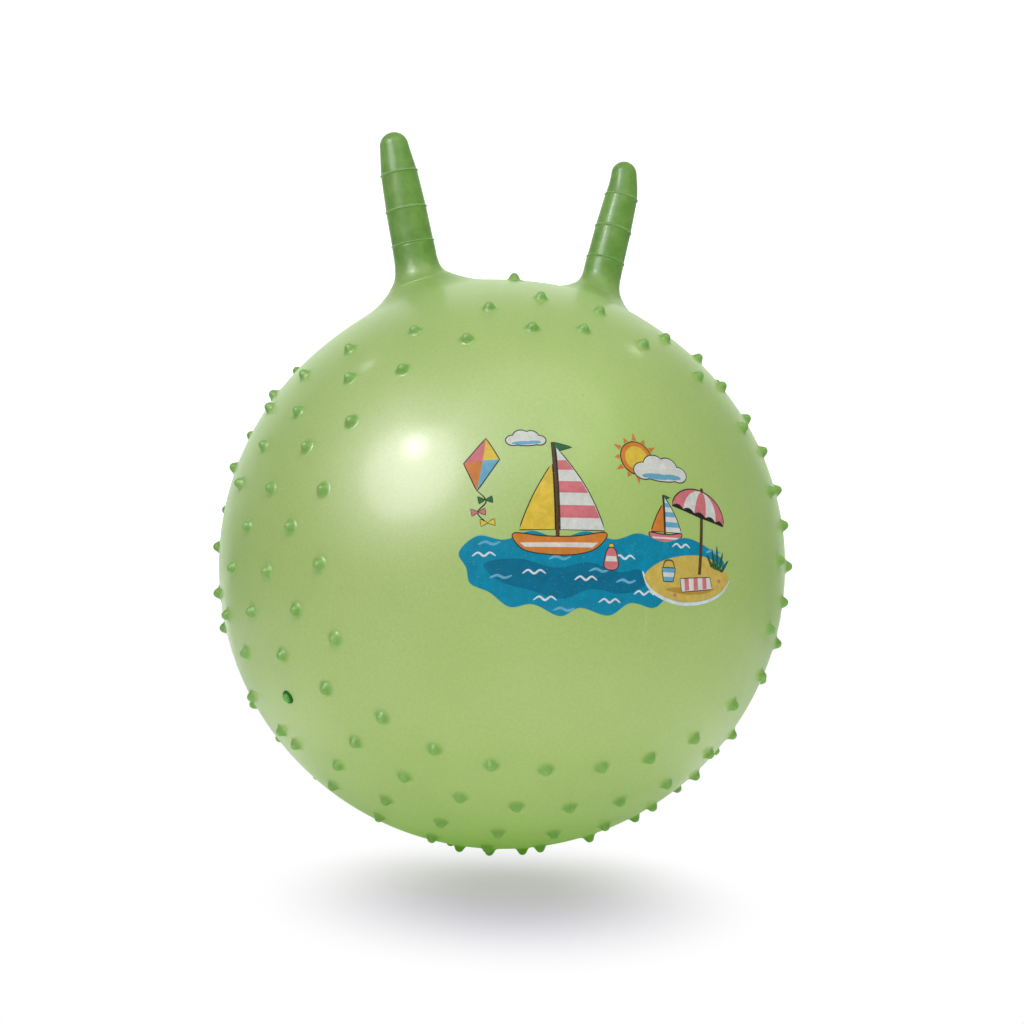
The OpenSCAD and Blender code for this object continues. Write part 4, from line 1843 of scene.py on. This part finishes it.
    def to_ball(self, flat: Array, radius: float) -> Array:
        """Wraps picture points round the ball, true in distance and direction from its middle.

        point = middle + radius (cos q * out + sin q * (u across + v up)), with q the distance
        over the ball's radius and (u, v) the direction on the picture.

        Args:
            flat: n by 2 picture points, in millimetres.
            radius: distance from the ball's middle.

        Returns:
            n by 3 points of the model.
        """
        bearing = math.radians(self.bearing)
        out = towards(self.bearing, self.rise)
        across = np.array([math.cos(bearing), math.sin(bearing), 0.0])
        up = np.cross(across, -out)
        reach = np.linalg.norm(flat, axis=1)
        angle = reach * MM / self.ball.radius
        heading = flat / np.maximum(reach, TINY)[:, None]
        tangent = heading[:, :1] * across + heading[:, 1:] * up
        return self.ball.centre + radius * (np.cos(angle)[:, None] * out + np.sin(angle)[:, None] * tangent)

    def build(self) -> None:
        """Makes the ink as one closed thin sheet, cut along every outline.

        The outlines and a grid of points are joined into triangles that keep each outline as
        edges. A triangle takes the ink of the last motif that covers it, and one that none covers
        is left out.
        """
        motifs = [Motif(fine(leftwards(m.outline)), m.ink) for m in self.motifs()]
        lengths = [len(m.outline) for m in motifs]
        starts = np.cumsum([0, *lengths[:-1]])
        corners = np.concatenate([m.outline for m in motifs])
        low, high = corners.min(0), corners.max(0)
        xs = np.arange(low[0], high[0], self.grid)
        ys = np.arange(low[1], high[1], self.grid)
        grid = np.stack(np.meshgrid(xs, ys), axis=2).reshape(-1, 2)
        given = [Vector(point) for point in np.concatenate([corners, grid]).tolist()]
        loops = [list(range(start, start + length)) for start, length in zip(starts.tolist(), lengths)]
        points, _, faces, _, _, owners = delaunay_2d_cdt(given, [], loops, 1, self.weld)
        flat = np.array([tuple(p) for p in points])
        inks = np.array([max(owner, default=-1) for owner in owners])
        triangles = np.array(faces)[inks >= 0]
        inks = inks[inks >= 0]
        to_second, to_third = (flat[triangles[:, corner]] - flat[triangles[:, 0]] for corner in (1, 2))
        turn = to_second[:, 0] * to_third[:, 1] - to_second[:, 1] * to_third[:, 0]
        triangles[turn < 0] = triangles[turn < 0][:, ::-1]
        keep = np.abs(turn) > 2 * self.sliver
        self.add_sheet(flat, triangles[keep], inks[keep], [m.ink for m in motifs])

    def add_sheet(self, flat: Array, triangles: Array, inks: Array, names: list[Ink]) -> None:
        """Makes the sheet's object from its flat triangles.

        Each ink has points of its own, so that colours meet in a crisp line. The underside
        repeats the top, turned over and sunk, and joins it round the sheet's free edges.

        Args:
            flat: n by 2 picture points.
            triangles: m by 3 numbers of points, counted outwards.
            inks: for each triangle, the number of its motif.
            names: for each motif, its ink.
        """
        ink_index = np.array([list(Ink).index(ink) for ink in names])[inks]
        keys = triangles + len(flat) * ink_index[:, None]
        used, inverse = np.unique(keys, return_inverse=True)
        tops = inverse.reshape(-1, 3)
        place = flat[used % len(flat)]
        tints = np.array([colour(*ink.value) for ink in Ink])[used // len(flat)]
        count = len(used)
        upper = self.to_ball(place, self.ball.radius + self.lift)
        lower = self.to_ball(place, self.ball.radius - self.sink)
        edges, own = (
            np.concatenate([corners[:, [k, (k + 1) % 3]] for k in range(3)]) for corners in (triangles, tops)
        )
        codes = np.sort(edges, axis=1) @ np.array([len(flat), 1])
        _, first, uses = np.unique(codes, return_index=True, return_counts=True)
        free = own[first[uses == 1]]
        rim = np.stack([free[:, 0], free[:, 0] + count, free[:, 1] + count, free[:, 1]], axis=1)
        faces = tops.tolist() + (tops[:, ::-1] + count).tolist() + rim.tolist()
        points = np.concatenate([upper, lower])
        Piece(
            "seaside_print",
            Surface(points, faces, np.zeros(len(points), int)),
            PrintInk("screen_ink").material(),
            Body.BALL,
            marks={"ink": np.concatenate([tints, tints])},
            normals=self.ball.outwards(points),
        ).build()


# The room


class Shows(Enum):
    """Which part of the light a lamp gives: the gloss that mirrors it, or the even fill."""

    GLINT = "glint"
    FILL = "fill"


def placed(name: str, data: bpy.types.ID) -> bpy.types.Object:
    """Puts a new object with that data into the scene."""
    made = bpy.data.objects.new(name, data)
    bpy.context.scene.collection.objects.link(made)
    return made


@dataclass(frozen=True)
class Lamp:
    """A round soft light.

    Attributes:
        name: its name.
        bearing: degrees right of the panel's side, seen from the ball.
        rise: degrees over the ball's middle.
        distance: metres from the ball's middle.
        size: width of its face, in metres.
        power: in watts.
        shows: which part of the light it gives.
        tint: its colour.
    """

    name: str
    bearing: float
    rise: float
    distance: float
    size: float
    power: float
    shows: Shows
    tint: Triple = (1.0, 1.0, 1.0)

    def build(self, target: Array) -> None:
        """Makes the lamp.

        Args:
            target: what it shines at.
        """
        data = bpy.data.lights.new(self.name, "AREA")
        data.shape = "DISK"
        data.size = self.size
        data.energy = self.power
        data.color = self.tint
        out = towards(self.bearing, self.rise)
        lamp = placed(self.name, data)
        lamp.location = Vector(target + out * self.distance)
        lamp.rotation_mode = "QUATERNION"
        lamp.rotation_quaternion = Vector(out).to_track_quat("Z", "Y")
        lamp.visible_glossy = self.shows is Shows.GLINT
        lamp.visible_diffuse = self.shows is Shows.FILL


@dataclass
class Studio:
    """Floor, light and camera.

    A span is where something begins and where it is full. On the floor it is in metres, and on
    the backdrop and to the sides it is a cosine, 1 straight along the aim.

    Attributes:
        target: the ball's middle.
        distance: from the camera to the ball's middle, in metres.
        azimuth: the camera's bearing, in degrees.
        elevation: its rise, in degrees.
        roll: its turn about its own view line, in degrees.
        lens: focal length, in millimetres.
        film: width of the frame, in millimetres.
        shift: the frame's shift, as shares of its width.
        nearest: metres from the camera to the nearest thing that it shows.
        backdrop_aim: direction of the bright backdrop behind the ball.
        backdrop_span: how wide it spreads.
        backdrop_glow: how much brighter it is than the room.
        core_span: how wide its brighter core spreads.
        core_glow: how much brighter its core is.
        room_glow: how bright the rest of the room is.
        ahead_aim: direction from the ball straight away from the camera, over the floor.
        ahead_span: how wide what lies straight ahead spreads.
        low_span: height over which the room's sides brighten upwards.
        gloom: how much dimmer they are near the horizon.
        floor_reach: half the floor's width.
        shadow_middle: where the ball's shadow lies on the floor.
        shadow_reach: half the width and depth of the floor that shows the shadow.
        shadow_span: shares of that reach over which the shadow fades.
        contact_span: reach of the light that comes back from the ball to the floor under it.
        contact_share: how much of what the camera sees there it makes up.
        contact_tint: its colour.
        paint: the floor's own colour.
        floor_glow: how much the whole floor lights the ball from below.
        belt_inner: inner edge of a belt of the floor round the ball.
        belt_outer: its outer edge.
        belt_glow: how much more the belt does.
        near_span: reach of the floor under the ball.
        near_glow: how much more it does.
        near_tint: its colour, green as light through the ball's skin.
        horizon_aim: direction of the far floor that glows most, behind the ball's left side.
        horizon_span: how far off that begins.
        horizon_glow: how much more the far floor does.
        dim_span: how far off the floor's sides grow dimmer.
        lamps: the lamps.
    """

    target: Array
    distance: float = 1.35
    azimuth: float = -16.5
    elevation: float = 0.2
    roll: float = 1.6
    lens: float = 58.91
    film: float = 36.0
    shift: Pair = (0.0097, 0.0525)
    nearest: float = 0.05
    backdrop_aim: Triple = (0.16, 0.962, 0.22)
    backdrop_span: Pair = (0.65, 1.0)
    backdrop_glow: float = 0.82
    core_span: Pair = (0.765, 0.8)
    core_glow: float = 0.15
    room_glow: float = 0.335
    ahead_aim: Triple = (0.284, 0.959, 0.0)
    ahead_span: Pair = (0.66, 0.86)
    low_span: Pair = (0.03, 0.2)
    gloom: float = 0.9
    floor_reach: float = 6.0
    shadow_middle: Triple = (-0.041, -0.177, 0.0)
    shadow_reach: Pair = (0.181, 0.237)
    shadow_span: Pair = (0.1, 1.0)
    contact_span: Pair = (0.03, 0.18)
    contact_share: float = 0.54
    contact_tint: Rgba = (0.93, 0.89, 1.0, 1.0)
    paint: Rgba = (0.89, 0.82, 1.0, 1.0)
    floor_glow: float = 0.12
    belt_inner: Pair = (0.18, 0.27)
    belt_outer: Pair = (0.30, 0.52)
    belt_glow: float = 0.38
    near_span: Pair = (0.07, 0.22)
    near_glow: float = 0.1
    near_tint: Rgba = (0.7, 1.0, 0.3, 1.0)
    horizon_aim: Triple = (-0.6, 0.8, 0.0)
    horizon_span: Pair = (0.5, 2.0)
    horizon_glow: float = 1.2
    dim_span: Pair = (0.8, 1.5)
    lamps: tuple[Lamp, ...] = (
        Lamp("key_glint", -57.6, 40.4, 1.8, 0.24, 6.2, Shows.GLINT),
        Lamp("glow_glint", -55.5, 31.8, 1.9, 1.2, 35.5, Shows.GLINT, (0.93, 0.78, 1.1)),
        Lamp("soft_glint", 2.0, 55.0, 2.0, 2.0, 16.5, Shows.GLINT),
        Lamp("left_back_glint", -129.7, 52.2, 2.0, 0.12, 0.5, Shows.GLINT),
        Lamp("right_back_glint", 113.6, 52.6, 2.0, 0.12, 0.4, Shows.GLINT),
        Lamp("front_glint", 15.1, 48.5, 2.0, 0.3, 0.8, Shows.GLINT),
        Lamp("front_fill", -14.0, 46.0, 2.2, 1.6, 17.5, Shows.FILL),
        Lamp("shadow_fill", 165.3, 50.0, 1.8, 1.0, 7.0, Shows.FILL),
    )

    def camera(self) -> None:
        """Sets up the camera at the photograph's angle."""
        azimuth, roll = math.radians(self.azimuth), math.radians(self.roll)
        back = Vector(towards(self.azimuth, self.elevation))
        right = Vector((math.cos(azimuth), math.sin(azimuth), 0.0))
        up = back.cross(right)
        axes = (
            right * math.cos(roll) + up * math.sin(roll),
            -right * math.sin(roll) + up * math.cos(roll),
            back,
        )
        data = bpy.data.cameras.new("photo_camera")
        data.lens = self.lens
        data.sensor_width = self.film
        data.shift_x, data.shift_y = self.shift
        data.clip_start = self.nearest
        made = placed("photo_camera", data)
        turn = Matrix(axes).transposed().to_4x4()
        made.matrix_world = Matrix.Translation(Vector(self.target) + back * self.distance) @ turn
        bpy.context.scene.camera = made

    def world(self) -> None:
        """Lights the room evenly, and shows it white to the camera."""
        world = bpy.data.worlds.new("studio")
        bpy.context.scene.world = world
        world.use_nodes = True
        nodes = Nodes(world.node_tree)
        path = nodes.add("ShaderNodeLightPath").outputs
        direction = nodes.add("ShaderNodeTexCoord").outputs["Generated"]
        backdrop = nodes.dot(direction, self.backdrop_aim)
        behind = nodes.math(
            "ADD",
            nodes.times(nodes.step(backdrop, *self.backdrop_span), self.backdrop_glow),
            nodes.times(nodes.step(backdrop, *self.core_span), self.core_glow),
        )
        mirrored = nodes.rest(path["Is Diffuse Ray"])
        height = nodes.add("ShaderNodeSeparateXYZ", {0: direction}).outputs[2]
        low = nodes.rest(nodes.step(height, *self.low_span))
        dim = nodes.times(nodes.times(low, self.aside(nodes, direction, 1.0)), mirrored)
        level = nodes.math("MULTIPLY_ADD", behind, mirrored, self.room_glow)
        level = nodes.times(level, nodes.math("MULTIPLY_ADD", dim, -self.gloom, 1.0))
        strength = nodes.math("MAXIMUM", level, path["Is Camera Ray"])
        background = nodes.add("ShaderNodeBackground", {"Color": WHITE, "Strength": strength})
        nodes.end(background, "ShaderNodeOutputWorld")

    def aside(self, nodes: Nodes, place: Output, far: object) -> Output:
        """How far a place, which lies that far off, is to the side: 0 straight ahead, 1 aside."""
        ahead = nodes.math("DIVIDE", nodes.dot(place, self.ahead_aim), far)
        return nodes.rest(nodes.step(ahead, *self.ahead_span))

    def floor(self) -> None:
        """Makes the pale floor, which the camera sees white but for the ball's shadow."""
        reach = self.floor_reach
        corners = [(-reach, -reach, 0), (reach, -reach, 0), (reach, reach, 0), (-reach, reach, 0)]
        mesh = bpy.data.meshes.new("floor")
        mesh.from_pydata(corners, [], [(0, 1, 2, 3)])
        made = placed("floor", mesh)
        material, nodes = new_material("pale_floor")
        place = nodes.place()
        path = nodes.add("ShaderNodeLightPath").outputs
        shadow = {
            "Vector": place,
            "Location": self.shadow_middle,
            "Rotation": (0.0, 0.0, math.radians(self.azimuth)),
            "Scale": (*self.shadow_reach, 1.0),
        }
        oval_place = nodes.add("ShaderNodeMapping", shadow, vector_type="TEXTURE").outputs[0]
        outside = nodes.step(nodes.length(oval_place), *self.shadow_span)
        under = nodes.length(place)
        contact = nodes.times(nodes.rest(nodes.step(under, *self.contact_span)), self.contact_share)
        near = nodes.rest(nodes.step(under, *self.near_span))
        belt_end = nodes.rest(nodes.step(under, *self.belt_outer))
        belt = nodes.times(nodes.step(under, *self.belt_inner), belt_end)
        horizon = nodes.step(nodes.dot(place, self.horizon_aim), *self.horizon_span)
        shine = nodes.math("MULTIPLY_ADD", belt, self.belt_glow, self.floor_glow)
        shine = nodes.math("MULTIPLY_ADD", near, self.near_glow, shine)
        shine = nodes.math("ADD", shine, nodes.times(horizon, self.horizon_glow))
        dim = nodes.times(nodes.step(under, *self.dim_span), self.aside(nodes, place, under))
        dim = nodes.times(dim, nodes.rest(path["Is Diffuse Ray"]))
        shine = nodes.times(shine, nodes.math("MULTIPLY_ADD", dim, -self.gloom, 1.0))
        tint = nodes.mix(near, WHITE, self.near_tint)
        paint = nodes.mix(nodes.times(dim, self.gloom), self.paint, BLACK)
        shade = nodes.add("ShaderNodeBsdfDiffuse", {"Color": paint}).outputs[0]
        white, glow, bounced = (
            nodes.add("ShaderNodeEmission", {"Color": tone, "Strength": strength}).outputs[0]
            for tone, strength in ((WHITE, 1.0), (tint, shine), (self.contact_tint, 1.0))
        )
        lit = nodes.add("ShaderNodeAddShader", {0: shade, 1: glow}).outputs[0]
        under_ball = nodes.add("ShaderNodeMixShader", {0: contact, 1: shade, 2: bounced}).outputs[0]
        seen = nodes.add("ShaderNodeMixShader", {0: outside, 1: under_ball, 2: white}).outputs[0]
        nodes.end(nodes.add("ShaderNodeMixShader", {0: path["Is Camera Ray"], 1: lit, 2: seen}))
        mesh.materials.append(material)

    def build(self) -> None:
        """Makes everything round the ball."""
        bpy.context.scene.view_settings.view_transform = "Standard"
        self.camera()
        self.world()
        self.floor()
        for lamp in self.lamps:
            lamp.build(self.target)


def main() -> None:
    """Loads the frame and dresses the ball."""
    logging.basicConfig(level=logging.INFO, format="%(name)s: %(message)s")
    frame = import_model()
    low, high = (np.array(corner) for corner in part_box("ball_skin"))
    radius = float(high[2] - low[2]) / 2
    centre = np.array([0.0, 0.0, float(high[2] + low[2]) / 2])
    joints = {joint["name"]: joint for joint in frame["joints"]}
    horns = {
        shape: [np.array(joints[f"{shape.name}_horn_{motion}"]["pos_m"]) for motion in ("pull", "spread")]
        for shape in (LEFT_HORN, RIGHT_HORN)
    }
    feet = tuple(pivots[0] for pivots in horns.values())
    ball = Ball(radius, centre, unit(joints["valve_pull"]["axis"]), feet)
    Studio(centre).build()
    ball.build()
    ValvePlug(ball).build()
    NubField(ball, "front_nubs").build("front_nub_field")
    NubField(ball, "back_nubs").build("back_nub_field")
    NubField(ball, "stand_nubs").build("stand_nub_ring")
    for shape, pivots in horns.items():
        Horn(shape, ball, *pivots).build()
    Picture(ball).build()
    seat = frame["nodes"]["valve_seat"]
    seat.data.materials.clear()
    seat.data.materials.append(SKIN.material())


if __name__ == "__main__":
    main()
